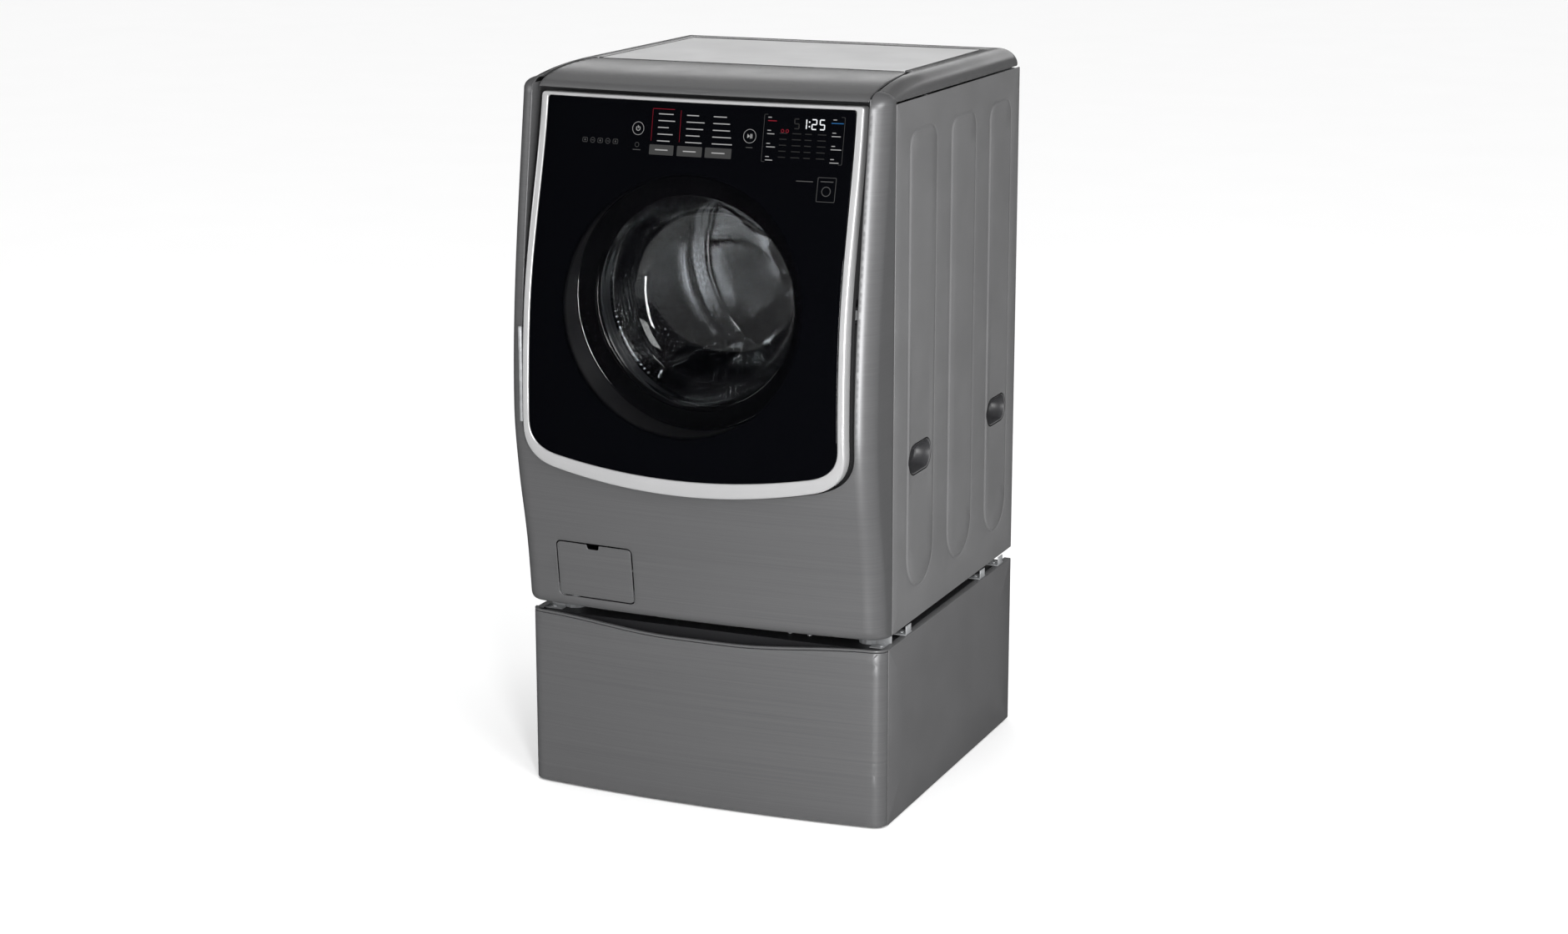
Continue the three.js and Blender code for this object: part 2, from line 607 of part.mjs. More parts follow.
const stator = () => turnedY([[92, 313], [134, 313], [134, 344], [92, 344]], 0, AXIS_Z);
function gasket() {
  return drumRing([
    [255.2, -272], [212, -303], [205, -303], [205, -299], [213, -296], [214.5, -290],
    [214.5, -256], [221.4, -256], [221.4, -284], [255.2, -265],
  ]);
}

// ---------------------------------------------------------------- drum
function drumShell() {
  const r = DRUM_R;
  return drumRing([
    [r + DRUM_T, 284], [r, 284], [r, -231], [r - 5, -237.5], [219, -243.8], [214, -241],
    [214, -242.4], [219, -245.2], [r - 4, -239], [r + DRUM_T, -231.5],
  ]);
}
function drumRear() {
  return drumRing([
    [20, 264], [90, 264], [235, 281], [DRUM_R - 0.4, 281], [DRUM_R - 0.4, 283], [234, 283],
    [90, 266], [20, 266],
  ]);
}
function lifter(angle) {
  const foot = DRUM_R - 3;
  const section = (inset) => {
    const shape = new THREE.Shape();
    shape.moveTo(-46 + 3 * inset, -foot + 3.5);
    shape.quadraticCurveTo(-20 + inset, -foot + 16 - inset, -13 + inset, -foot + 52 - inset);
    shape.quadraticCurveTo(0, -foot + 72 - 2 * inset, 13 - inset, -foot + 52 - inset);
    shape.quadraticCurveTo(20 - inset, -foot + 16 - inset, 46 - 3 * inset, -foot + 3.5);
    return shape;
  };
  const body = cut(alongY(section(0), [-196, 240], 4), alongY(section(1.6), [-194, 250], 4));
  return body.rotate([0, THREE.MathUtils.radToDeg(angle), 0]).translate([0, 0, AXIS_Z]);
}
function driveShaft() {
  const shaft = turnedY([[0, 287], [60, 287], [60, 297], [17, 301], [17, 362], [0, 362]], 0, AXIS_Z, 24);
  const arms = [30, 150, 270].map((deg) => new THREE.BoxGeometry(220, 9, 34)
    .translate(150, 292.5, 0).rotateY(-radians(deg)).translate(0, 0, AXIS_Z));
  return join(shaft, ...arms);
}
function rotor() {
  return turnedY([
    [17.5, 350], [141, 350], [141, 318], [146, 318], [146, 356], [17.5, 356],
  ], 0, AXIS_Z);
}

// ---------------------------------------------------------------- door
const doorSlab = (front, back) => slab([-336, 336], [625, 1362], 6, 10, front, back);
function doorFrame() {
  const band = doorSlab(doorY, offsetY(doorY, RIM_DEPTH));
  return cut(meet(band, throughDoor(RIM)), throughDoor(grown(GLASS, GAP), [-450, -190]));
}
function doorGlass() {
  return meet(doorSlab(offsetY(doorY, 1), offsetY(doorY, GLASS_T)), throughDoor(GLASS));
}
function doorInnerCover() {
  const back = offsetY(skinY, COVER_BACK);
  const edge = meet(doorSlab(offsetY(doorY, GLASS_T + 1), back), throughDoor(grown(GLASS, -0.6)));
  const wall = cut(edge, throughDoor(grown(GLASS, -0.6 - PLASTIC), [-450, -190]));
  const plateBack = meet(doorSlab(offsetY(back, -PLASTIC), back), throughDoor(grown(RIM, -7)));
  const boss = meet(
    drumRing([[PORTHOLE_R, -430], [PORTHOLE_R + 6, -430], [PORTHOLE_R + 6, -334], [PORTHOLE_R, -334]]),
    doorSlab(offsetY(doorY, GLASS_T + 1), () => -270));
  const hole = drumRing([[0, -450], [PORTHOLE_R, -450], [PORTHOLE_R, -200], [0, -200]]);
  return join(cut(join(wall, plateBack), hole), boss, latchEar(9.5), latchEar(-15.5));
}
// One of the two ears that carry the latch hook's pin.
function latchEar(rise) {
  const [x, y] = LATCH;
  const root = skinY(x, AXIS_Z) + COVER_BACK - 1;
  const z = [AXIS_Z + rise, AXIS_Z + rise + 6];
  return cut(box([x - 5, x + 5], [root, y + 5], z), rodZ(x, y, 2.4, [z[0] - 1, z[1] + 1], 12));
}
function portholeRing() {
  const r = PORTHOLE_R - 0.5;
  return drumRing([[r, -342], [r, -335], [212, -322.4], [197, -322.4], [197, -327], [206, -330]]);
}
function doorBowl() {
  return drumRing([
    [0, -205.5], [118, -211.5], [161, -227], [181, -254], [191, -292], [195, -322],
    [211, -322], [211, -316], [201, -316], [196.5, -290], [186.5, -250], [165, -221], [120, -206], [0, -200],
  ]);
}
function displayBoard() {
  return meet(doorSlab(offsetY(doorY, GLASS_T + 1), offsetY(doorY, GLASS_T + 7)),
    box([-240, 300], [-420, -200], [1240, 1338]));
}
// Door half of the hinge: a knuckle, a web along the gap and a plate behind the door.
function hingeLeaf() {
  const [x, y] = HINGE;
  const back = skinY(-300, LEAF_Z[1]) + COVER_BACK;
  const tail = skinY(x, LEAF_Z[1]) + COVER_BACK + 2;
  const web = box([x + 1, x + 3.5], [y, tail + 2.5], LEAF_Z);
  const leaf = box([x + 1, -292], [Math.max(tail, back), tail + 2.5], LEAF_Z);
  const bore = rodZ(x, y, 2.15, [LEAF_Z[0] - 5, LEAF_Z[1] + 5], 16);
  return cut(join(rodZ(x, y, KNUCKLE_R, LEAF_Z, 16), web, leaf), bore);
}
function latchHook() {
  const plan = polygon([[314, -326.8], [321, -326.8], [321, -276], [314, -276], [308, -283], [308, -285.5],
    [314, -285.5]]);
  return join(alongZ(plan, [AXIS_Z - 9, AXIS_Z + 9]), rodZ(...LATCH, 2, [AXIS_Z - 14, AXIS_Z + 14], 12));
}

// ---------------------------------------------------------------- lid, flap
function dispenserLid() {
  const surface = (inset) => (u, v) => {
    const angle = (v * Math.PI) / 2;
    const reach = (LID_END - (lidFront(LID_HALF * (2 * u - 1)) + inset)) * Math.sin(angle);
    const y = LID_END - reach;
    const z = LID_LOW + (TOP - 0.5 - inset - LID_LOW) * Math.cos(angle);
    const swing = 8 * smooth(LID_END - 30, LID_END, y); // room at the rear corners for the lid to turn
    return [(2 * u - 1) * (lidHalf(y) - swing - inset * 0.3), y, z];
  };
  const skin = plate(6, 8, surface(0), surface(3));
  const knuckle = new THREE.CylinderGeometry(4.5, 4.5, 2 * LID_REAR_HALF - 24, 16)
    .rotateZ(Math.PI / 2).translate(0, ...LID_AXIS);
  const lip = box([-LID_REAR_HALF + 12, LID_REAR_HALF - 12], [LID_REAR - 10, LID_AXIS[0]],
    [LID_AXIS[1] + 1.5, LID_AXIS[1] + 4.45]);
  const trunnions = new THREE.CylinderGeometry(2, 2, 2 * LID_REAR_HALF - 2, 12)
    .rotateZ(Math.PI / 2).translate(0, ...LID_AXIS);
  return join(skin, knuckle, lip, trunnions);
}

function pumpFlap() {
  const g = FLAP_GAP;
  const outline = roundedRect(FLAP.x0 + g, FLAP.x1 - g, FLAP.z0 + g, FLAP.z1 - g, FLAP.r - g);
  const panel = meet(slab([FLAP.x0, FLAP.x1], [FLAP.z0, FLAP.z1], 5, 3, skinY, offsetY(skinY, SHEET)),
    alongY(outline, [-440, -280], 4));
  const notch = alongY(roundedRect(-222, -195, 497, 512, 3), [-440, -280], 3);
  return cut(panel, notch);
}

// ---------------------------------------------------------------- pedestal
const pedestalY = (x) => PED_SEAM - PED_R - PED_BULGE * (1 - Math.min(1, (x / (HALF - PED_R)) ** 2));
function drawerFront() {
  const thick = 6;
  const lower = 4;
  const corner = 0.3; // share of the path that goes round one corner
  const plan = (inset) => (u) => {
    if (u <= 0 || u >= 1) return [Math.sign(u - 0.5) * (HALF - inset), PED_SEAM - GAP * 2];
    const side = u < 0.5 ? -1 : 1;
    const s = u < 0.5 ? u : 1 - u;
    const r = PED_R - inset;
    if (s < corner) {
      const a = (Math.PI / 2) * (s / corner);
      return [side * (HALF - PED_R + r * Math.cos(a)), PED_SEAM - r * Math.sin(a) - GAP * 2];
    }
    const x = (side * (HALF - PED_R) * (0.5 - s)) / (0.5 - corner);
    return [x, pedestalY(x) + inset - GAP * 2];
  };
  const surface = (inset) => (u, v) => {
    const [x, y] = plan(inset)(u);
    const top = 351 - 16 * (1 - smooth(60, HALF - 30, Math.abs(x)));
    return [x, y, lower + (top - lower) * v];
  };
  const spacer = cut(box([-335, 335], [PED_SEAM - 50, PED_SEAM - 4.5], [28, 298]),
    box([-330, 330], [PED_SEAM - 60, PED_SEAM], [33, 293]));
  const body = slab([-340, 340], [20, 305], 8, 1, offsetY(pedestalY, 1), () => PED_SEAM);
  return join(plate(20, 1, surface(0), surface(thick)), meet(spacer, body));
}
function drawerBox() {
  const y = [PED_SEAM - 4, DRAWER_END];
  const shell = cut(box([-DRAWER_X, DRAWER_X], y, [30, 300]),
    box([-DRAWER_X + SHEET, DRAWER_X - SHEET], [y[0] + SHEET, y[1] - SHEET], [30 + SHEET, 310]));
  const rail = box([DRAWER_X - 1, 358], RAIL_Y, [RAIL_Z - 10, RAIL_Z + 10]);
  return join(shell, rail, mirrored(rail));
}
const channel = (x0, x1, half, y) => cut(box([x0, x1], y, [RAIL_Z - half, RAIL_Z + half]),
  box([x0 - 5, x1 - 2], [y[0] - 5, y[1] + 5], [RAIL_Z - half + 2, RAIL_Z + half - 2]));
const middleRail = () => channel(340, 361.5, 14, RAIL_Y);
function pedestalSide() {
  const wall = box([HALF - SHEET, HALF], [PED_SEAM, BACK], [2, PED_TOP]);
  const lip = box([HALF - 14, HALF], [PED_SEAM, BACK], [PED_TOP - 2, PED_TOP]);
  return join(wall, lip, channel(342, HALF - SHEET + 0.5, 19, [RAIL_Y[0], RAIL_Y[1] + 2]));
}
const pedestalRear = () => box([-HALF + 3, HALF - 3], [BACK - 5.5, BACK - 3.9], [8, DECK_Z - 4]);
function pedestalDeck() {
  const deck = box([-HALF + 3, HALF - 3], [-276, BACK - 3], [DECK_Z - 2, DECK_Z]);
  const beam = cut(box([-HALF + 16, HALF - 16], [-276, -250], [312, DECK_Z - 1]),
    box([-HALF + 10, HALF - 10], [-274, -245], [314, DECK_Z - 2]));
  return join(deck, beam);
}
function pedestalBase() {
  return cut(box([-HALF + 3, HALF - 3], [-276, BACK - 7], [10, 26]),
    box([-HALF + 5, HALF - 5], [-274, BACK - 9], [12, 30]));
}
const pedestalFoot = (x, y) =>
  turnedZ([[0, 0], [20, 0], [21, 2], [21, 7], [9, 9.6], [0, 9.6]], x, y, 20);

// ---------------------------------------------------------------- assembly
pair("side_panel", sidePanel(), sideSteel);
part("front_panel", frontPanel(), graphite);
part("top_frame", topFrame(), graphite);
part("top_plate", box([-PLATE_HALF, PLATE_HALF], [LID_REAR + 1, PLATE_END],
  [TOP - COVER_T, TOP - 0.7]), lightTop);
part("rear_panel", rearPanel(), zinc);
part("base_pan", basePan(), zinc);
part("front_bulkhead", frontBulkhead(), darkPlastic);
part("dispenser_housing", dispenserHousing(), darkPlastic);
part("dispenser_tray", dispenserTray(), whitePlastic);
part("door_lock", doorLock(), darkPlastic);
part("door_hinge_bracket", hingeBracket(), zinc);
part("drain_pump", drainPump(), whitePlastic);
part("inlet_valves", inletValves(), whitePlastic);
part("drain_outlet", drainOutlet(), darkPlastic);
part("power_inlet", powerInlet(), darkPlastic);
part("main_board", box([-340, -190], [215, 390], [1296, 1340]), board);
pair("tub_spring", tubSpring(), zinc);
pair("damper_cylinder", damperCylinder(), darkPlastic);
part("sump_hose", sumpHose(), rubber);
part("door_gasket", gasket(), rubber);

pair("pedestal_side", pedestalSide(), sideSteel);
part("pedestal_rear", pedestalRear(), zinc);
part("pedestal_deck", pedestalDeck(), darkPlastic);
part("pedestal_base", pedestalBase(), zinc);
for (const [end, y] of [["front", FOOT_Y[0]], ["rear", FOOT_Y[1]]]) {
  part("pedestal_foot_" + end + "_left", pedestalFoot(-FOOT_X, y), rubber);
  part("pedestal_foot_" + end + "_right", pedestalFoot(FOOT_X, y), rubber);
}

part("tub_front", tubFront(), darkPlastic);
part("tub_rear", tubRear(), darkPlastic);
part("tub_weight_front", frontWeight(), castIron);
part("motor_stator", stator(), copper);
pair("damper_rod", damperRod(), zinc);

part("drum_shell", drumShell(), drumSteel);
part("drum_rear", drumRear(), drumSteel);
for (let i = 0; i < 3; i++) part("drum_lifter_" + (i + 1), lifter(radians(120 * i + 40)), drumSteel);
part("drive_shaft", driveShaft(), zinc);
part("motor_rotor", rotor(), castIron);

part("door_frame", doorFrame(), chrome);
part("door_glass", doorGlass(), tintedGlass);
part("door_inner_cover", doorInnerCover(), darkPlastic);
part("porthole_ring", portholeRing(), chrome);
part("door_bowl", doorBowl(), clearGlass);
part("display_board", displayBoard(), board);
part("door_hinge_leaf", hingeLeaf(), zinc);
part("door_latch_hook", latchHook(), zinc);

part("dispenser_lid", dispenserLid(), graphite);
part("pump_flap", pumpFlap(), graphite);
part("filter_cap", filterCap(), darkPlastic);

part("drawer_front", drawerFront(), graphite);
part("drawer_box", drawerBox(), zinc);
pair("middle_rail", middleRail(), zinc);

export default washer;
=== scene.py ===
"""Looks of a front load washing machine that stands on its drawer pedestal.

Every shape is written in millimetres in the frame of the CAD model (+Z up, front towards -Y)
and turned into metres when a mesh is made.
"""

import math

import bmesh
import bpy
import numpy as np
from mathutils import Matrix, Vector
from mathutils.geometry import delaunay_2d_cdt


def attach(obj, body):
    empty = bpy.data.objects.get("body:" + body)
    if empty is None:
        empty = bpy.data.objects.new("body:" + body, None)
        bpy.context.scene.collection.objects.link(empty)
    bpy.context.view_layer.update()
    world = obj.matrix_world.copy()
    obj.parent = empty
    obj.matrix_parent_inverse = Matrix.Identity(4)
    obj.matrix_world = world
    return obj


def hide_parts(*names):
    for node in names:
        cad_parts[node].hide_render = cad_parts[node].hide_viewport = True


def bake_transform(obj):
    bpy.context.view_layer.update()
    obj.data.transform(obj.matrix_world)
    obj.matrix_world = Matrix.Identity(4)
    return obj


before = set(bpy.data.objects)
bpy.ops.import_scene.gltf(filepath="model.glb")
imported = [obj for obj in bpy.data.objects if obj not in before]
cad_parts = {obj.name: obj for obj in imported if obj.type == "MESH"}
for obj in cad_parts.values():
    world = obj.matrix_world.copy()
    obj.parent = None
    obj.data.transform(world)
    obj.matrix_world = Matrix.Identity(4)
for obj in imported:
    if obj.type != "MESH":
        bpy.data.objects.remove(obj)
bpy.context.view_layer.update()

# ---------------------------------------------------------------- dimensions, mm
# The sizes that place the parts are those of the CAD; seams and rims are set here for their look.
# cabinet
HALF = 368.5  # half of the cabinet's width
BACK = 417.5
SEAM = -266.5  # y at which the front panel meets the side panels
TOP = 1399.0
WASHER_Z = 372.0
SIDE_TOP = 1360.0
COVER_Z = 1363.5  # lower edge of the rails and the lid
SHEET = 1.6
GAP = 0.3
CORNER_R = 38.0
FACE_R = 3289.0  # radius of the bowed front in plan
BELLY = [(372, -287.5), (500, -303), (640, -330.5), (770, -344.5), (1000, -330.5), (1375, -276.5)]  # z, y
UNDER_R = 18.0  # rounding under the front panel
BEADS = [(-194.0, -54.0), (26.0, 161.0), (243.0, 368.0)]  # from y to y on the side panels
BEAD_Z = (435.0, 1302.0)
BEAD_RISE = 1.5
BEAD_SLOPE = 5.0
BEAD_DIP = 1.2  # depth of the groove along a bead's edge
BEAD_TOP_R = 30.0
GRIPS = [(-131.0, 112.0, 53.0), (302.0, 105.0, 50.0)]  # middle, width and height
GRIP_Z = 686.0
REAR_Y = 398.0
# door
DOOR_PROUD = 19.0  # the door's face in front of the cabinet's
DOOR_SUNK = 13.0  # and behind it at the top
DOOR_TURN = (950, 1357)  # between these heights it changes over
# outlines of the door and its glass, for door_outline()
RIM = dict(top=1357.5, half_top=322.5, half_low=325.5, bottom=634, rise=0.000427, turn_x=262, drop=62,
           top_r=8)
RIM_DEPTH = 25.0
GLASS = dict(top=1351, half_top=307.5, half_low=311.5, bottom=665, rise=0.000384, turn_x=256, drop=50,
             top_r=6)
GLASS_T = 6.0
GLASS_SUNK = 1.0
COVER_BACK = 43.0
OPENING_X = 336.5  # half of the opening for the door
OPENING_TOP = 1420.0  # above the cabinet, so that the opening is open at its top
PORTHOLE_R = 238.0
LATCH = (317.5, -322.0)
# drum
AXIS_Z = 985.0
DRUM_R = 275.0
DRUM_PITCH = 14.0
ARM_ANGLES = (43.0, 163.0, 283.0)
BULKHEAD_Y = -300.0
BULKHEAD_TILT = 0.1
SPRING_X = 322.0
SPRING_Z = (1182.0, 1350.0)
HOSE = [(-60, 60, 684), (-62, 60, 640), (-80, 40, 590), (-120, 0, 560), (-170, -60, 548), (-200, -125, 536),
        (-207, -153, 514), (-207, -153, 494.5)]
# top
LID_REAR = -74.5
LID_END = LID_REAR - 8
LID_HALF = 333.0
LID_REAR_HALF = 315.0
LID_LOW = 1366.0
LID_GROOVE = 5.0
LID_ARC = 238.0
DIMPLE = (34.0, 9.0, 2.2)  # half width, half length along the lid and depth of the finger dimple
PLATE_HALF = 310.0
PLATE_END = 342.0
FRAME_R = 36.0
CORNER_POWER = 5.0  # squareness of the rear corners in plan
# pump flap
FLAP = (-290.0, -124.0, 395.0, 508.0)  # x from, x to, z from, z to
FLAP_R = 11.0
FLAP_GAP = 2.6
FILTER = (-207.0, 450.0)
# pedestal
DECK_Z = 342.0
PED_TOP = 348.0
PED_SEAM = -280.0
PED_R = 25.0
PED_BULGE = 18.0
DRAWER_SEAM = 2.5  # the drawer corner's gap to the side panel
# signs on the glass: centre and radius, ranges of x, heights
POWER = (-113.0, 1301.0, 11.5)
START = (110.0, 1298.0, 12.0)
KEYS = [(-87, -38), (-31, 19), (25, 77)]
KEY_Z = (1256.0, 1274.0)
PROGRAMS = [(-73, (30, 34, 22, 31, 26)), (-16, (24, 36, 34, 28, 33)), (37, (26, 33, 34, 37, 40))]
DISPLAY = (136.0, 288.0, 1255.0, 1338.0)
BADGE = (247.0, 281.0, 1190.0, 1232.0)
DIGIT = (8.5, 17.0, 2.0)  # width, height and line of a digit
DIGIT_Z = 1315.0
SEGMENTS = {"1": "bc", "2": "abged", "5": "afgcd"}
SIGN_SUNK = 0.1
SIGN_PROUD = 0.12
MM = 0.001


# ---------------------------------------------------------------- mesh tools
SHARP_DEGREES = 35.0


class Build:
    """Points and faces of one piece, in millimetres."""

    def __init__(self):
        self.points = []
        self.faces = []

    def add(self, points, faces):
        base = len(self.points)
        self.points.extend(tuple(p) for p in points)
        self.faces.extend([base + i for i in face] for face in faces)

    def grid(self, rows, wrap=False, close=False):
        """Quads between rows of points. wrap joins each row's ends, close the last row to the first."""
        n = len(rows[0])
        points = [p for row in rows for p in row]
        faces = []
        for j in range(len(rows) if close else len(rows) - 1):
            k = (j + 1) % len(rows)
            for i in range(n if wrap else n - 1):
                faces.append([j * n + i, j * n + (i + 1) % n, k * n + (i + 1) % n, k * n + i])
        self.add(points, faces)

    def cap(self, ring):
        self.add(ring, [list(range(len(ring)))])

    def solid(self, rows):
        """A closed body from a stack of rings, capped at both ends."""
        self.grid(rows, wrap=True)
        self.cap(rows[0][::-1])
        self.cap(rows[-1])

    def mirror(self):
        """The same piece on the other side of the machine."""
        other = Build()
        other.add([(-x, y, z) for x, y, z in self.points], [face[::-1] for face in self.faces])
        return other

    def object(self, name):
        """A welded and smooth shaded object, in metres."""
        mesh = bpy.data.meshes.new(name)
        mesh.from_pydata([[MM * c for c in p] for p in self.points], [], self.faces)
        bm = bmesh.new()
        bm.from_mesh(mesh)
        bmesh.ops.remove_doubles(bm, verts=bm.verts, dist=3e-6)
        bmesh.ops.dissolve_degenerate(bm, edges=bm.edges, dist=1e-7)
        bmesh.ops.recalc_face_normals(bm, faces=bm.faces)
        bm.to_mesh(mesh)
        bm.free()
        mesh.shade_smooth()
        mesh.set_sharp_from_angle(angle=math.radians(SHARP_DEGREES))
        obj = bpy.data.objects.new(name, mesh)
        bpy.context.scene.collection.objects.link(obj)
        return obj


def piece(build, name, body, look, replaces=()):
    """Makes the object and says which body carries it and which CAD nodes it stands for."""
    obj = build.object(name)
    obj.data.materials.append(look)
    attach(obj, body)
    if replaces:
        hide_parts(*replaces)
    return obj


def pair(build, name, body, look, replaces=""):
    """The same piece on the right and, mirrored, on the left."""
    for side, shape in (("right", build), ("left", build.mirror())):
        nodes = [replaces + "_" + side] if replaces else []
        piece(shape, name + "_" + side, body, look, nodes)


def stretched(build, name, look, slot, tub_end, cabinet_end, node):
    """A soft piece between the tub and the cabinet, made in place and carried by no body; the CAD node it
    stands for is hidden.
    """
    obj = build.object(name)
    obj.data.materials.append(look)
    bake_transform(obj)
    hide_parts(node)


def spread(a, b, n):
    """n + 1 evenly spaced values from a to b."""
    return [a + (b - a) * i / n for i in range(n + 1)]


def full_turn(n):
    """n angles evenly round a full turn."""
    return [2 * math.pi * i / n for i in range(n)]


def smooth(a, b, v):
    """0 below a, 1 above b and an even S between them."""
    t = min(1.0, max(0.0, (v - a) / (b - a)))
    return t * t * (3 - 2 * t)


def area(loop):
    """Signed area of a closed outline, positive when it runs counter-clockwise."""
    p = np.array(loop)
    q = np.roll(p, -1, 0)
    return 0.5 * float((p[:, 0] * q[:, 1] - q[:, 0] * p[:, 1]).sum())


def offset(loop, by):
    """A closed outline moved to the left of its direction of travel."""
    p = np.array(loop, float)
    e = np.roll(p, -1, 0) - p
    n = np.stack([-e[:, 1], e[:, 0]], 1)
    n /= np.linalg.norm(n, axis=1)[:, None]
    before = np.roll(n, 1, 0)
    miter = (n + before) / np.maximum(1 + (n * before).sum(1), 0.4)[:, None]
    return [tuple(v) for v in p + by * miter]


def fillet(points, radius, steps=3):
    """A closed polygon with its corners rounded. radius is one number, or one for each corner."""
    result = []
    n = len(points)
    radii = radius if hasattr(radius, "__len__") else [radius] * n
    for i, r in enumerate(radii):
        a, b, c = (np.array(points[(i + k) % n], float) for k in (-1, 0, 1))
        if r <= 0:
            result.append(tuple(b))
            continue
        la, lc = np.linalg.norm(a - b), np.linalg.norm(c - b)
        reach = min(r, 0.48 * la, 0.48 * lc)
        start, end = b + (a - b) / la * reach, b + (c - b) / lc * reach
        for t in spread(0, 1, steps):
            result.append(tuple(start * (1 - t) ** 2 + 2 * b * t * (1 - t) + end * t * t))
    return result


def rounded_rect(x0, x1, z0, z1, low, high=None, steps=10):
    """Counter-clockwise rectangle with circular corners."""
    high = low if high is None else high
    loop = []
    for cx, cz, r, start in (
        (x1 - low, z0 + low, low, -90),
        (x1 - high, z1 - high, high, 0),
        (x0 + high, z1 - high, high, 90),
        (x0 + low, z0 + low, low, 180),
    ):
        for angle in spread(start, start + 90, steps):
            a = math.radians(angle)
            loop.append((cx + r * math.cos(a), cz + r * math.sin(a)))
    return dedupe(loop)


def dedupe(loop):
    """A closed outline without repeated points."""
    tiny = 1e-4
    kept = []
    for p in loop:
        if not kept or math.dist(p, kept[-1]) > tiny:
            kept.append(tuple(p))
    return kept[:-1] if math.dist(kept[0], kept[-1]) < tiny else kept


def circle(cx, cz, r, n=96):
    return [(cx + r * math.cos(a), cz + r * math.sin(a)) for a in full_turn(n)]


def inside(points, loops):
    """Which points lie inside an odd number of the loops."""
    x, z = points[:, 0], points[:, 1]
    result = np.zeros(len(points), bool)
    for loop in loops:
        for (x0, z0), (x1, z1) in zip(loop, loop[1:] + loop[:1]):
            if z0 != z1:
                crosses = (z0 > z) != (z1 > z)
                result ^= crosses & (x < (x1 - x0) * (z - z0) / (z1 - z0) + x0)
    return result


def clear_of(points, loops, distance):
    """The points that keep a distance from every corner of the loops."""
    keep = np.ones(len(points), bool)
    for loop in loops:
        for p in np.array(loop):
            keep &= ((points - p) ** 2).sum(1) > distance**2
    return points[keep]


def triangulated(loops, fields, creases=()):
    """Triangles over the region inside the first loop and outside the others.
    Each field (u0, u1, v0, v1, du, dv) fills a rectangle with inner points at that spacing."""
    flat = [p for loop in [*loops, *creases] for p in loop]
    edges = []
    base = 0
    for loop in [*loops, *creases]:
        n = len(loop)
        edges.extend((base + i, base + (i + 1) % n) for i in range(n))
        base += n
    for u0, u1, v0, v1, du, dv in fields:
        us = np.array(spread(u0, u1, max(1, round((u1 - u0) / du))))
        vs = np.array(spread(v0, v1, max(1, round((v1 - v0) / dv))))
        points = np.array([(u, v) for v in vs for u in us])
        points = points[inside(points, loops)]
        points = clear_of(points, [*loops, *creases], 0.5 * min(du, dv))
        flat.extend(tuple(p) for p in points)
    inside_outline = 1
    verts, _, faces, *_ = delaunay_2d_cdt([Vector(p) for p in flat], edges, [], inside_outline, 1e-6)
    verts = [tuple(v) for v in verts]
    middles = np.array([np.mean([verts[i] for i in face], 0) for face in faces])
    in_hole = inside(middles, loops[1:])
    return verts, [face for face, hole in zip(faces, in_hole) if not hole]


def lifted(surface, p, sink):
    """A surface's point, moved inwards along its normal."""
    at = Vector(surface(*p))
    if sink == 0:
        return tuple(at)
    du = Vector(surface(p[0] + 0.5, p[1])) - Vector(surface(p[0] - 0.5, p[1]))
    dv = Vector(surface(p[0], p[1] + 0.5)) - Vector(surface(p[0], p[1] - 0.5))
    return tuple(at - du.cross(dv).normalized() * sink)


def formed(build, outer, holes, surface, thick, edge, fields, creases=()):
    """A plate that follows surface(u, v), with an outline, holes and rounded edges."""
    loops = [outer if area(outer) > 0 else outer[::-1]]
    loops += [hole if area(hole) < 0 else hole[::-1] for hole in holes]
    steps = 3
    for loop in loops:
        rows = []
        for k in range(steps + 1):
            a = math.pi / 2 * k / steps
            ring = offset(loop, edge * (1 - math.cos(a)))
            rows.append([lifted(surface, p, edge * (1 - math.sin(a))) for p in ring])
        back = [lifted(surface, p, thick) for p in loop]
        back_in = [lifted(surface, p, thick) for p in offset(loop, edge)]
        build.grid([back_in, back, *rows], wrap=True)
    verts, faces = triangulated([offset(loop, edge) for loop in loops], fields, creases)
    build.add([lifted(surface, v, 0) for v in verts], faces)
    build.add([lifted(surface, v, thick) for v in verts], [face[::-1] for face in faces])


ALONG = {
    "x": lambda a, b, h: (h, a, b),
    "y": lambda a, b, h: (a, h, b),
    "z": lambda a, b, h: (a, b, h),
}


def turned(build, profile, centre=(0.0, AXIS_Z), axis="y", segments=128, closed=True):
    """A turned shape from [radius, height along the axis] points; centre is where the axis stands."""
    place = ALONG[axis]
    rows = []
    for r, h in profile:
        rows.append([place(*p, h) for p in circle(*centre, r, segments)])
    build.grid(rows, wrap=True, close=closed)


def prism(build, outline, span, axis="y", edge=0.6):
    """A closed outline pulled along an axis, with rounded ends."""
    outline = outline if area(outline) > 0 else outline[::-1]
    place = ALONG[axis]
    rings = []
    for angle in spread(0, math.pi / 2, 2):
        rings.append((offset(outline, edge * (1 - math.sin(angle))), edge * (1 - math.cos(angle))))
    rows = [[place(*p, span[0] + inset) for p in ring] for ring, inset in rings]
    rows += [[place(*p, span[1] - inset) for p in ring] for ring, inset in rings[::-1]]
    build.solid(rows)


def block(build, xs, ys, zs, edge=0.8):
    """A box with rounded edges."""
    outline = fillet([(xs[0], ys[0]), (xs[1], ys[0]), (xs[1], ys[1]), (xs[0], ys[1])], edge, 2)
    prism(build, outline, zs, "z", edge)


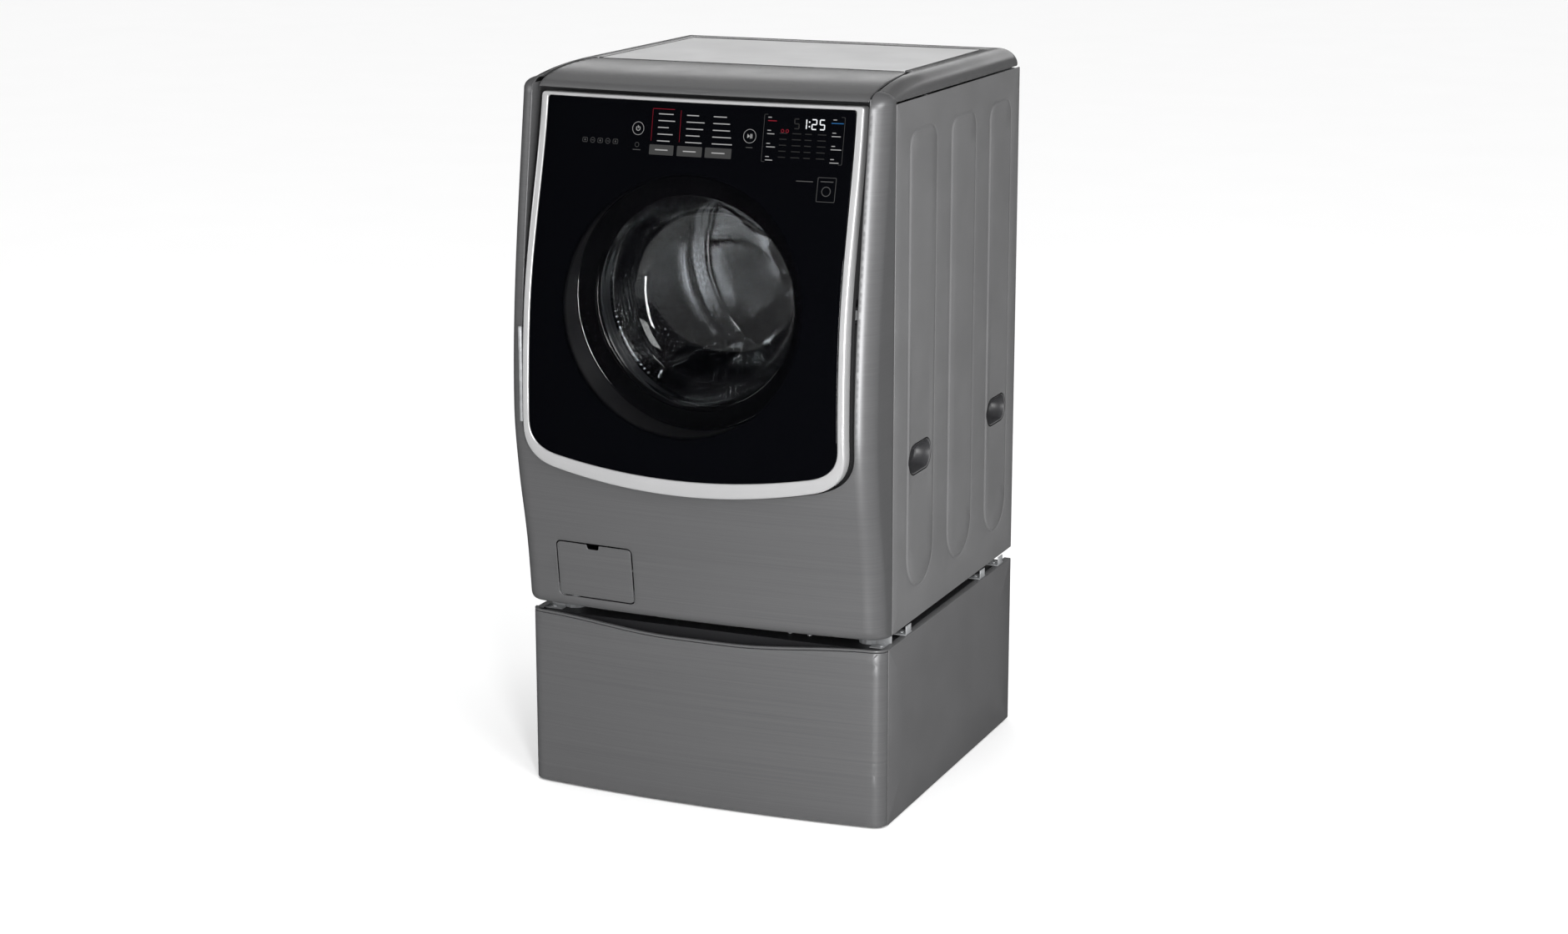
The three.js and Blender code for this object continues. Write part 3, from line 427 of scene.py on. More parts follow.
def tube(build, path, radius, segments=12):
    """A round wire or hose along a list of points. radius is one number, or one for each point."""
    pts = [Vector(p) for p in path]
    radii = radius if hasattr(radius, "__len__") else [radius] * len(pts)
    rows = []
    normal = Vector((0.3, 0.5, 0.8))
    for i, (p, r) in enumerate(zip(pts, radii)):
        ahead = (pts[min(i + 1, len(pts) - 1)] - pts[max(i - 1, 0)]).normalized()
        normal = (normal - ahead * normal.dot(ahead)).normalized()
        side = ahead.cross(normal)
        ring = []
        for a in full_turn(segments):
            ring.append(tuple(p + r * (normal * math.cos(a) + side * math.sin(a))))
        rows.append(ring)
    build.solid(rows)


def smooth_profile(profile, times):
    """Corner cutting that keeps the ends of an open profile."""
    points = [tuple(p) for p in profile]
    for _ in range(times):
        finer = [points[0]]
        for a, b in zip(points, points[1:]):
            finer += [tuple(p + (q - p) * t for p, q in zip(a, b)) for t in (0.25, 0.75)]
        finer.append(points[-1])
        points = finer
    return points


# ---------------------------------------------------------------- shared surfaces
def belly(z):
    """y of the front's middle line, a smooth curve through the BELLY points."""
    last = len(BELLY) - 1

    def slope(i):
        a, b = BELLY[max(0, i - 1)], BELLY[min(last, i + 1)]
        return (b[1] - a[1]) / (b[0] - a[0])

    i = 0
    while i < last - 1 and z > BELLY[i + 1][0]:
        i += 1
    (z0, y0), (z1, y1) = BELLY[i], BELLY[i + 1]
    h = z1 - z0
    t = (z - z0) / h
    return (
        y0 * (1 + 2 * t) * (1 - t) ** 2
        + y1 * t * t * (3 - 2 * t)
        + h * slope(i) * t * (1 - t) ** 2
        - h * slope(i + 1) * t * t * (1 - t)
    )


CORNER_X = HALF - CORNER_R
TANGENT = math.asin(CORNER_X / (FACE_R - CORNER_R))
FACE_DROP = math.sqrt((FACE_R - CORNER_R) ** 2 - CORNER_X**2)
FACE_X = FACE_R * math.sin(TANGENT)


def skin_y(x, z):
    """The cabinet's front: a shallow arc in plan with rounded corners."""
    ax = abs(x)
    if ax > FACE_X:
        return belly(z) - math.sqrt(max(0.0, CORNER_R**2 - (ax - CORNER_X) ** 2))
    return belly(z) + FACE_DROP - math.sqrt(FACE_R**2 - x * x)


def door_y(x, z):
    """The door's face: proud of the cabinet's front below, sunk behind it at the top."""
    return skin_y(x, z) - DOOR_PROUD + (DOOR_PROUD + DOOR_SUNK) * smooth(*DOOR_TURN, z)


def bulkhead_y(z):
    return BULKHEAD_Y + BULKHEAD_TILT * (z - AXIS_Z)


def lid_half(y):
    """Half of the lid's width, an elliptic curve that narrows towards the rear."""
    t = min(1.0, max(0.0, (y - SEAM) / (LID_REAR - SEAM)))
    return LID_REAR_HALF + (LID_HALF - LID_REAR_HALF) * math.sqrt(1 - t * t)


def lid_front(x):
    return skin_y(x, LID_LOW) + DOOR_SUNK + 2


def crown(y):
    """Height of the top: rounded down to the front, flat behind the lid."""
    t = min(1.0, max(0.0, (LID_REAR - y) / (LID_REAR - lid_front(LID_HALF))))
    return LID_LOW + (TOP - LID_LOW) * math.sqrt(1 - t * t)


def door_outline(top, half_top, half_low, bottom, rise, turn_x, drop, top_r):
    """Counter-clockwise outline with straight sides, a parabolic bottom and rounded corners."""

    def at(x):
        return bottom + rise * x * x

    corner = at(turn_x) + 2 * rise * turn_x * (half_low - turn_x)

    def curve(a, b, c, n):
        return [tuple((1 - t) ** 2 * p + 2 * t * (1 - t) * q + t * t * r
                      for p, q, r in zip(a, b, c)) for t in spread(0, 1, n)]

    def line(a, b, n):
        return [(a[0] + (b[0] - a[0]) * t, a[1] + (b[1] - a[1]) * t) for t in spread(0, 1, n)]

    low = [(x, at(x)) for x in spread(-turn_x, turn_x, 44)]
    right = curve((turn_x, at(turn_x)), (half_low, corner), (half_low, corner + drop), 14)
    side = line((half_low, corner + drop), (half_top, top - top_r), 44)
    cap = curve((half_top, top - top_r), (half_top, top), (half_top - top_r, top), 6)
    over = line((half_top - top_r, top), (-half_top + top_r, top), 44)
    flip = [(-x, z) for x, z in (right + side + cap)][::-1]
    return dedupe(low + right + side + cap + over + flip)


def grown(outline, by):
    """The same outline of the door, larger by an even margin."""
    more = dict(outline)
    for key, sign in (("top", 1), ("half_top", 1), ("half_low", 1), ("bottom", -1)):
        more[key] += sign * by
    return more


# ---------------------------------------------------------------- materials
def new_material(name, color, metallic=0.0, roughness=0.5, **sockets):
    material = bpy.data.materials.new(name)
    material.use_nodes = True
    shader = material.node_tree.nodes["Principled BSDF"]
    shader.inputs["Base Color"].default_value = (*color, 1)
    shader.inputs["Metallic"].default_value = metallic
    shader.inputs["Roughness"].default_value = roughness
    for socket, value in sockets.items():
        shader.inputs[socket.replace("_", " ")].default_value = value
    return material, shader


def node(material, kind, **settings):
    """A new node with its inputs or its properties set by name."""
    made = material.node_tree.nodes.new(kind)
    for key, value in settings.items():
        if key in made.inputs:
            made.inputs[key].default_value = value
        else:
            setattr(made, key, value)
    return made


def link(material, a, b):
    material.node_tree.links.new(a, b)


def noise(material, scale, detail=3.0, roughness=0.5):
    """Noise over the object's own coordinates. scale is cycles per metre along X, Y and Z."""
    place = node(material, "ShaderNodeTexCoord")
    mapping = node(material, "ShaderNodeMapping", Scale=scale)
    link(material, place.outputs["Object"], mapping.inputs["Vector"])
    made = node(material, "ShaderNodeTexNoise", Scale=1.0, Detail=detail, Roughness=roughness)
    link(material, mapping.outputs["Vector"], made.inputs["Vector"])
    return made.outputs["Fac"]


def ranged(material, value, low, high, from_low=0.3, from_high=0.7):
    """A value mapped to low..high; noise mostly lies between 0.3 and 0.7."""
    made = node(material, "ShaderNodeMapRange")
    for key, number in (("From Min", from_low), ("From Max", from_high), ("To Min", low), ("To Max", high)):
        made.inputs[key].default_value = number
    link(material, value, made.inputs["Value"])
    return made.outputs["Result"]


def tinted(material, shader, value, low, high, socket="Base Color"):
    """A colour between two colours by a 0..1 value."""
    mix = node(material, "ShaderNodeMix", data_type="RGBA")
    mix.inputs["A"].default_value = (*low, 1)
    mix.inputs["B"].default_value = (*high, 1)
    link(material, value, mix.inputs["Factor"])
    link(material, mix.outputs["Result"], shader.inputs[socket])


def bumped(material, shader, value, height_mm, strength=1.0):
    bump = node(material, "ShaderNodeBump", Strength=strength, Distance=height_mm * MM)
    link(material, value, bump.inputs["Height"])
    link(material, bump.outputs["Normal"], shader.inputs["Normal"])


def brushed_metal(name, dark, bright, roughness):
    """Metal brushed along the width: long fine streaks in colour, gloss and relief."""
    material, shader = new_material(name, bright, 0.55, roughness)
    fine = noise(material, (5, 5, 1300), 4, 0.6)
    broad = noise(material, (1.6, 1.6, 420), 3, 0.55)
    both = node(material, "ShaderNodeMath", operation="ADD")
    link(material, fine, both.inputs[0])
    link(material, broad, both.inputs[1])
    streaks = ranged(material, both.outputs[0], 0, 1, 0.6, 1.4)
    tinted(material, shader, streaks, dark, bright)
    link(material, ranged(material, broad, roughness - 0.03, roughness + 0.03), shader.inputs["Roughness"])
    bumped(material, shader, fine, 0.012, 0.4)
    return material


def painted(name, color, metallic, roughness, peel=0.015, spread_by=0.05):
    """Paint with a slight orange peel and a hardly visible unevenness of tone."""
    material, shader = new_material(name, color, metallic, roughness)
    patches = noise(material, (9, 9, 9), 3)
    dark = tuple(c * (1 - spread_by) for c in color)
    light = tuple(min(1, c * (1 + spread_by)) for c in color)
    tinted(material, shader, ranged(material, patches, 0, 1), dark, light)
    grain = noise(material, (700, 700, 700), 2)
    link(material, ranged(material, grain, roughness - 0.04, roughness + 0.04), shader.inputs["Roughness"])
    bumped(material, shader, grain, peel, 0.6)
    return material


def moulded(name, color, roughness, texture=0.03):
    """Injection moulded plastic with a fine spark-eroded texture."""
    material, shader = new_material(name, color, 0.0, roughness)
    grain = noise(material, (1500, 1500, 1500), 2)
    patches = noise(material, (14, 14, 14), 2)
    light = tuple(min(1, c * 1.15 + 0.003) for c in color)
    tinted(material, shader, ranged(material, patches, 0, 1), color, light)
    link(material, ranged(material, grain, roughness - 0.06, roughness + 0.06), shader.inputs["Roughness"])
    bumped(material, shader, grain, texture, 0.7)
    return material


def polished(name, color, roughness, metallic=1.0):
    """Plated or polished metal with faint wiping marks in its gloss."""
    material, shader = new_material(name, color, metallic, roughness)
    marks = noise(material, (12, 12, 12), 3, 0.5)
    link(material, ranged(material, marks, roughness * 0.9, roughness * 1.15), shader.inputs["Roughness"])
    tinted(material, shader, ranged(material, marks, 0, 1), tuple(c * 0.97 for c in color), color)
    return material


def lacquered(name, color, roughness):
    """Black gloss with a faint haze."""
    material, shader = new_material(name, color, 0.0, roughness)
    haze = noise(material, (25, 25, 25), 3)
    link(material, ranged(material, haze, roughness * 0.8, roughness * 1.4), shader.inputs["Roughness"])
    tinted(material, shader, ranged(material, haze, 0, 1), color, tuple(1.4 * c for c in color))
    return material


def zinc_plated(name, color=(0.42, 0.43, 0.44)):
    """Galvanised sheet: a soft patchwork of crystals."""
    material, shader = new_material(name, color, 0.4, 0.42)
    place = node(material, "ShaderNodeTexCoord")
    cells = node(material, "ShaderNodeTexVoronoi", Scale=110.0)
    link(material, place.outputs["Object"], cells.inputs["Vector"])
    tone = node(material, "ShaderNodeSeparateColor")
    link(material, cells.outputs["Color"], tone.inputs["Color"])
    tinted(material, shader, tone.outputs["Red"], tuple(c * 0.8 for c in color), color)
    link(material, ranged(material, tone.outputs["Green"], 0.36, 0.5, 0, 1), shader.inputs["Roughness"])
    bumped(material, shader, noise(material, (400, 400, 400), 3), 0.01, 0.5)
    return material


def bordered_glass(name, color, clear, border, start, end):
    """Glass that lets light straight through by its alpha: clear round the door's axis and dark beyond
    a radius. start and end are in millimetres. A faint film lies in its gloss."""
    material, shader = new_material(name, color, 0.0, 0.02, Alpha=1.0, IOR=1.52)
    film = noise(material, (18, 18, 18), 3)
    link(material, ranged(material, film, 0.012, 0.032), shader.inputs["Roughness"])
    material.surface_render_method = "BLENDED"
    place = node(material, "ShaderNodeTexCoord")
    centred = node(material, "ShaderNodeVectorMath", operation="SUBTRACT")
    centred.inputs[1].default_value = (0, 0, AXIS_Z * MM)
    link(material, place.outputs["Object"], centred.inputs[0])
    flat = node(material, "ShaderNodeVectorMath", operation="MULTIPLY")
    flat.inputs[1].default_value = (1, 0, 1)
    link(material, centred.outputs[0], flat.inputs[0])
    distance = node(material, "ShaderNodeVectorMath", operation="LENGTH")
    link(material, flat.outputs[0], distance.inputs[0])
    alpha = ranged(material, distance.outputs["Value"], clear, border, start * MM, end * MM)
    link(material, alpha, shader.inputs["Alpha"])
    return material


def solid_glass(name, color):
    """Thick clear glass that bends and mirrors the light, with a faint film in its gloss."""
    material, shader = new_material(name, color, 0.0, 0.02, Transmission_Weight=1.0, IOR=1.47)
    film = noise(material, (15, 15, 15), 3)
    link(material, ranged(material, film, 0.0, 0.03), shader.inputs["Roughness"])
    return material


def perforated_steel(name, color, pitch, hole):
    """Bright drum steel with rows of small holes round the drum and a shallow dimple round each. The holes
    are not cut: each is painted near black, painted shade for the dark space behind it.
    """
    material, shader = new_material(name, color, 1.0, 0.14)
    place = node(material, "ShaderNodeTexCoord")
    split = node(material, "ShaderNodeSeparateXYZ")
    link(material, place.outputs["Object"], split.inputs["Vector"])

    def math_node(operation, a, b=None):
        made = node(material, "ShaderNodeMath", operation=operation)
        for i, value in enumerate((a, b)):
            if value is None:
                continue
            if isinstance(value, (int, float)):
                made.inputs[i].default_value = value
            else:
                link(material, value, made.inputs[i])
        return made.outputs[0]

    height = math_node("SUBTRACT", split.outputs["Z"], AXIS_Z * MM)
    angle = math_node("ARCTAN2", height, split.outputs["X"])
    across = round(2 * math.pi * DRUM_R / pitch)
    column = math_node("MULTIPLY", angle, across / (2 * math.pi))
    row = math_node("MULTIPLY", split.outputs["Y"], 1 / (pitch * MM))
    odd = math_node("MULTIPLY", math_node("MODULO", math_node("FLOOR", row), 2), 0.5)
    u = math_node("SUBTRACT", math_node("FRACT", math_node("ADD", column, odd)), 0.5)
    v = math_node("SUBTRACT", math_node("FRACT", row), 0.5)
    squares = math_node("ADD", math_node("MULTIPLY", u, u), math_node("MULTIPLY", v, v))
    distance = math_node("SQRT", squares)
    edge = hole / pitch
    solid = ranged(material, distance, 0, 1, edge, edge + 0.03)
    # painted shade: the holes are coloured near black instead of being cut through the steel
    tinted(material, shader, solid, (0.004, 0.004, 0.005), color)
    dimple = ranged(material, distance, 0, 1, edge, 0.36)
    bumped(material, shader, dimple, 0.6, 0.5)
    film = noise(material, (40, 40, 40), 3)
    link(material, ranged(material, film, 0.11, 0.17), shader.inputs["Roughness"])
    return material


def glowing(name, color, strength):
    """Print that shines a little, with a faint unevenness."""
    material, shader = new_material(name, (0, 0, 0), 0.0, 0.4, Emission_Strength=strength)
    film = noise(material, (300, 300, 300), 1)
    tinted(material, shader, film, tuple(0.9 * c for c in color), color, "Emission Color")
    return material


FRONT_STEEL = brushed_metal("front_steel", (0.138, 0.139, 0.142), (0.17, 0.17, 0.173), 0.38)
COVER_METAL = polished("cover_metal", (0.21, 0.21, 0.213), 0.22, 0.65)
SIDE_PAINT = painted("side_paint", (0.13, 0.13, 0.132), 0.1, 0.45)
# the pedestal's sides wear the side paint made darker: painted shade for the less lit lower part
PEDESTAL_SHADED_PAINT = painted("pedestal_shaded_paint", (0.1, 0.1, 0.102), 0.1, 0.45)
TOP_PAINT = painted("top_paint", (0.49, 0.49, 0.493), 0.0, 0.5)
DECK_PAINT = painted("deck_paint", (0.018, 0.018, 0.02), 0.0, 0.5)
DRAWER_PAINT = painted("drawer_paint", (0.24, 0.242, 0.245), 0.2, 0.5)
INNER_PAINT = painted("inner_paint", (0.035, 0.035, 0.037), 0.0, 0.5)
CHROME = polished("satin_chrome", (0.54, 0.54, 0.545), 0.22, 0.5)
RING_CHROME = polished("ring_chrome", (0.5, 0.505, 0.51), 0.1)
RING_BLACK = lacquered("ring_black", (0.002, 0.002, 0.0023), 0.07)
TINTED_GLASS = bordered_glass("tinted_glass", (0.0012, 0.0013, 0.0018), 0.16, 0.995, 233, 243)
BOWL_GLASS = solid_glass("bowl_glass", (0.93, 0.95, 0.96))
BLACK_PLASTIC = moulded("black_plastic", (0.012, 0.012, 0.013), 0.4)
GRIP_PLASTIC = moulded("grip_plastic", (0.028, 0.028, 0.03), 0.4)
GREY_PLASTIC = moulded("grey_plastic", (0.5, 0.51, 0.51), 0.45)
TUB_PLASTIC = moulded("tub_plastic", (0.12, 0.125, 0.13), 0.6)
BOARD = moulded("board_green", (0.01, 0.05, 0.025), 0.5)
GASKET_RUBBER = moulded("gasket_rubber", (0.05, 0.052, 0.055), 0.55, 0.05)
WHITE_PRINT = glowing("white_print", (0.8, 0.8, 0.8), 0.5)
DIM_PRINT = glowing("dim_print", (0.5, 0.5, 0.5), 0.14)
# painted glow: the switched-off signs shine faintly though no lamp lights them
UNLIT_GLOW_PRINT = glowing("unlit_glow_print", (0.5, 0.5, 0.5), 0.04)
KEY_PRINT = glowing("key_print", (0.5, 0.5, 0.5), 0.11)
RED_PRINT = glowing("red_print", (0.8, 0.02, 0.06), 0.32)
BLUE_PRINT = glowing("blue_print", (0.03, 0.3, 0.8), 0.4)
LIT_DIGITS = glowing("lit_digits", (0.95, 0.97, 1.0), 1.0)
FOOT_RUBBER = moulded("foot_rubber", (0.01, 0.01, 0.01), 0.75, 0.05)
ZINC = zinc_plated("zinc")
ZINC_SHEET = zinc_plated("zinc_sheet", (0.36, 0.37, 0.38))
CAST_IRON = painted("cast_iron", (0.03, 0.03, 0.032), 0.5, 0.7, 0.15, 0.3)
MOTOR_IRON = painted("motor_iron", (0.16, 0.14, 0.13), 0.6, 0.5, 0.05, 0.2)
STEEL = (0.3, 0.305, 0.31)
DRUM_STEEL = perforated_steel("drum_steel", STEEL, DRUM_PITCH, 1.9)
PLAIN_STEEL = polished("plain_steel", STEEL, 0.12)

# The CAD nodes that stay in view keep their shape and get a finish and slightly rounded edges.
FINISHES = [
    (ZINC_SHEET, ["base_pan", "pedestal_rear", "pedestal_base"]),
    (ZINC, ["door_hinge_bracket", "door_hinge_leaf", "door_latch_hook", "drive_shaft", "damper_rod_right",
            "damper_rod_left", "middle_rail_right", "middle_rail_left"]),
    (INNER_PAINT, ["front_bulkhead"]),
    (DECK_PAINT, ["pedestal_deck"]),
    (DRAWER_PAINT, ["drawer_box"]),
    (BLACK_PLASTIC, ["dispenser_housing", "door_lock", "drain_outlet", "power_inlet",
                     "damper_cylinder_right", "damper_cylinder_left"]),
    (GREY_PLASTIC, ["dispenser_tray", "drain_pump", "inlet_valves"]),
    (TUB_PLASTIC, ["tub_front", "tub_rear"]),
    (CAST_IRON, ["tub_weight_front"]),
    (MOTOR_IRON, ["motor_stator", "motor_rotor"]),
    (BOARD, ["main_board", "display_board"]),
]


def dress(obj, look):
    obj.data.materials.clear()
    obj.data.materials.append(look)
    obj.modifiers.new("weld", "WELD").merge_threshold = 0.01 * MM
    bevel = obj.modifiers.new("edges", "BEVEL")
    bevel.width = 0.5 * MM
    bevel.segments = 2
    bevel.limit_method = "ANGLE"
    bevel.angle_limit = math.radians(50)
    bevel.use_clamp_overlap = True


for look, names in FINISHES:
    for name in names:
        dress(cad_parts[name], look)


# ---------------------------------------------------------------- front panel
S1 = FACE_R * TANGENT  # half length of the face arc in plan
S2 = S1 + CORNER_R * (math.pi / 2 - TANGENT)  # and with the corner arc
S3 = S2 + 60  # and with the short flat behind the corner, whatever its real length
UNDER_ARC = math.pi / 2 * UNDER_R
SKIN_LOW = WASHER_Z + UNDER_R - UNDER_ARC
DOME_ARC = 35.0
COLUMN_CUT = (OPENING_X - CORNER_X) / CORNER_R  # share of the corner radius at the opening's edge
DOME_TOP = COVER_Z + (crown(SEAM) - COVER_Z) / math.sqrt(1 - COLUMN_CUT**2)


def s_of_x(x):
    """Length along the front's plan curve from the middle to x."""
    ax = abs(x)
    if ax <= FACE_X:
        return math.copysign(FACE_R * math.asin(ax / FACE_R), x)
    angle = math.asin(min(1.0, (ax - CORNER_X) / CORNER_R))
    return math.copysign(S1 + CORNER_R * (angle - TANGENT), x)


def dome_base(s):
    """Height at which a column starts to curve inwards: lower at its front than at its side."""
    return COVER_Z - 13 * (1 - smooth(S1, S2, abs(s)))


def front_surface(s, w):
    """The front sheet by the length s along its plan curve and the height w, rounded under at its foot and
    domed on its two columns."""
    base = dome_base(s)
    tuck = 0.0
    z = min(w, base)
    if w < WASHER_Z + UNDER_R:
        angle = (WASHER_Z + UNDER_R - w) / UNDER_R
        z = WASHER_Z + UNDER_R * (1 - math.sin(angle))
        tuck = UNDER_R * (1 - math.cos(angle))
    corner = belly(z) + tuck
    a = abs(s)
    if a <= S1:
        x = FACE_R * math.sin(a / FACE_R)
        y = corner + FACE_DROP - FACE_R * math.cos(a / FACE_R)
    elif a <= S2:
        angle = TANGENT + (a - S1) / CORNER_R
        x = CORNER_X + CORNER_R * math.sin(angle)
        y = corner - CORNER_R * math.cos(angle)
    else:
        x = HALF
        y = corner + (SEAM - corner) * (a - S2) / (S3 - S2)
    if w > base:
        phi = (w - base) / DOME_ARC * math.pi / 2
        x = CORNER_X + (x - CORNER_X) * math.cos(phi)
        y = corner + (y - corner) * math.cos(phi) if y < corner else y
        z = base + (DOME_TOP - base) * math.sin(phi)
    return math.copysign(x, s), y, z


def column_edge():
    """The dome's inner edge on the right column, from the front upwards, in (s, w)."""
    edge = []
    top = math.acos(COLUMN_CUT)
    for phi in spread(0, top, 12):
        angle = math.asin(min(1.0, COLUMN_CUT / math.cos(phi)))
        s = S1 + CORNER_R * (angle - TANGENT)
        edge.append((s, dome_base(s) + phi / (math.pi / 2) * DOME_ARC))
    edge[-1] = (S2, COVER_Z + top / (math.pi / 2) * DOME_ARC)
    return edge


def opening_outline():
    """The opening for the door: like the rim at its bottom, with wider and upright sides."""
    upright = dict(top=OPENING_TOP, half_top=OPENING_X, half_low=OPENING_X, top_r=1)
    return door_outline(**grown(RIM, 4) | upright)


def from_upper_left(points):
    """The opening's outline from its upper left end, down, across and up to its upper right end."""
    start = max((p for p in points if p[0] < 0), key=lambda p: p[1])
    i = points.index(start)
    return points[i:] + points[:i]


def front_outline():
    dome = column_edge()
    opening = [(s_of_x(x), z) for x, z in opening_outline() if z < dome[0][1] - 6]
    ridge = dome[-1][1]
    bottom = [(s, SKIN_LOW) for s in spread(-S3, S3, 60)]
    side = [(S3, z) for z in spread(SKIN_LOW, ridge, 50)]
    over = [(s, ridge) for s in spread(S3, S2, 4)]
    right = side + over + dome[::-1]
    left = [(-s, w) for s, w in right[::-1]]
    return dedupe(bottom + right + from_upper_left(opening)[::-1] + left)


def front_panel():
    build = Build()
    x0, x1, z0, z1 = FLAP
    hole = [(s_of_x(x), z) for x, z in rounded_rect(x0, x1, z0, z1, FLAP_R, steps=6)]
    fold = WASHER_Z + UNDER_R
    fields = [(-S1, S1, fold, 760, 14, 12)]
    for a, b in ((-S1, -S1 + 40), (S1 - 40, S1)):
        fields.append((a + 3, b - 3, 760, 1340, 8, 14))
    for a, b in ((-S2, -S1), (S1, S2)):
        fields.append((a + 1, b - 1, fold, 1345, 4.4, 12))
        fields.append((a + 1, b - 1, 1349, 1396, 3, 3))
    for a, b in ((-S3, -S2), (S2, S3)):
        fields.append((a + 12, b - 12, fold, 1360, 20, 12))
        fields.append((a + 8, b - 8, 1363, 1394, 11, 3))
    for a, b, step in ((-S3, -S2, 15), (-S2, -S1, 4.4), (-S1, S1, 14), (S1, S2, 4.4), (S2, S3, 15)):
        fields.append((a + 2, b - 2, SKIN_LOW + 3, fold - 3, step, 4))
    formed(build, front_outline(), [hole], front_surface, SHEET, 1.4, fields)
    wall_of_opening(build)
    return build


def wall_of_opening(build):
    """The opening's sides and sill, from the skin back to the bulkhead."""
    path = from_upper_left([(x, z) for x, z in opening_outline() if z < 1378])
    rows = []
    for grow, depth in ((0, 1.2), (0, None), (SHEET, None), (SHEET, 1.5)):
        row = []
        for x, z in path:
            upright = abs(x) > 300
            outward = math.copysign(grow, x) if upright else 0
            lower = 0 if upright else grow
            y = bulkhead_y(z) - 1 if depth is None else skin_y(x, min(z, LID_LOW)) + depth
            row.append((x + outward, y, z - lower))
        rows.append(row)
    build.grid(rows, close=True)
    build.cap([row[0] for row in rows])
    build.cap([row[-1] for row in rows[::-1]])


# ---------------------------------------------------------------- side panels
def capsule_distance(y, z, y0, y1, z0, z1, low, high):
    """Signed distance to an upright rounded rectangle, negative inside."""
    r = low if z < (z0 + z1) / 2 else high
    qy = abs(y - (y0 + y1) / 2) - (y1 - y0) / 2 + r
    qz = abs(z - (z0 + z1) / 2) - (z1 - z0) / 2 + r
    return math.hypot(max(qy, 0), max(qz, 0)) + min(max(qy, qz), 0) - r


def side_surface(y, z):
    """The side sheet with its raised beads, each with a groove along its edge."""
    rise = 0.0
    for y0, y1 in BEADS:
        distance = capsule_distance(y, z, y0, y1, *BEAD_Z, (y1 - y0) / 2, BEAD_TOP_R)
        rise += (BEAD_RISE + BEAD_DIP) * (1 - smooth(-BEAD_SLOPE, 0, distance))
        rise -= BEAD_DIP * (1 - smooth(0, BEAD_SLOPE, distance))
    return HALF + rise, y, z


def grip_outline(y, w, h, grow=0.0):
    r = h / 2 + grow
    return rounded_rect(y - w / 2 - grow, y + w / 2 + grow, GRIP_Z - r, GRIP_Z + r, r - 0.01, steps=12)


def side_panel():
    build = Build()
    outline = rounded_rect(SEAM + 2.2, BACK, WASHER_Z, SIDE_TOP, 2, steps=3)
    creases = []
    for y0, y1 in BEADS:
        for inset in spread(-BEAD_SLOPE, BEAD_SLOPE, 8):
            low = (y1 - y0) / 2 - inset - 0.01
            bead = (y0 + inset, y1 - inset, BEAD_Z[0] + inset, BEAD_Z[1] - inset)
            creases.append(rounded_rect(*bead, low, BEAD_TOP_R - inset, 12))
    holes = [grip_outline(*grip) for grip in GRIPS]
    field = (SEAM, BACK, WASHER_Z, SIDE_TOP, 30, 40)
    formed(build, outline, holes, side_surface, SHEET, 1.2, [field], creases)
    return build


def hand_grip(y, w, h):
    """The moulded cup of one hand grip, its narrow rim on the panel and the bar behind its upper edge."""
    build = Build()
    face = HALF + BEAD_RISE
    cup = [(4, -1), (4, -0.4), (3.6, 0), (1.2, 0), (0, -0.7), (-0.6, -2), (-1.6, -12), (-3, -26),
           (-6, -30.5), (-12, -31.5)]
    rows = [[(face + x, *p) for p in grip_outline(y, w, h, grow)] for grow, x in cup]
    build.grid(rows, wrap=True)
    build.cap(rows[-1])
    back = [(-9.4, -33.4), (-1, -31), (1.4, -12), (2, -2)]
    inner = [[(face + x, *p) for p in grip_outline(y, w, h, grow)] for grow, x in back]
    build.grid([*inner, rows[0]], wrap=True)
    build.cap(inner[0][::-1])
    edge = GRIP_Z + h / 2
    near, deep = face - 3, face - 28
    section = [(edge - 1, near), (edge - 1, deep), (edge - 13, deep + 4), (edge - 8, near)]
    ends = (y - w / 2 + h / 2 - 4, y + w / 2 - h / 2 + 4)
    build.solid([[(x, end, z) for z, x in fillet(section, 3, 3)] for end in ends])
    return build


# ---------------------------------------------------------------- top
def frame_stations():
    """Sections of the top frame from the right seam round to the left one, each as its outer direction,
    its anchor, its inner edge and its height."""
    hole_x, hole_y = PLATE_HALF + 0.5, PLATE_END + 0.5
    turn_x, turn_y = HALF - FRAME_R, BACK - FRAME_R
    right = []
    side_ys = [SEAM + GAP, *spread(-255, -90, 22), -84, -79, LID_REAR, -72, *spread(-60, PLATE_END, 7),
               *spread(hole_y, turn_y, 3)]
    for y in side_ys:
        inner = hole_x if y > LID_REAR else lid_half(y) + LID_GROOVE
        right.append(((1, 0), (turn_x, y), (inner, min(y, hole_y)), crown(y)))
    corner = []
    for degrees in spread(0, 90, 12):
        a = math.radians(degrees)
        unit = (math.cos(a) ** (2 / CORNER_POWER), math.sin(a) ** (2 / CORNER_POWER))
        corner.append((unit, (turn_x, turn_y), (hole_x, hole_y), TOP))
    rear = [((0, 1), (turn_x * t, turn_y), (hole_x * t, hole_y), TOP) for t in spread(1, 0, 9)[1:]]
    half = right + corner[1:] + rear
    flip = [((-d[0], d[1]), (-a[0], a[1]), (-i[0], i[1]), top) for d, a, i, top in half[::-1][1:]]
    return half + flip


def rail_point(anchor, direction, reach, height):
    return anchor[0] + direction[0] * reach, anchor[1] + direction[1] * reach, COVER_Z + height


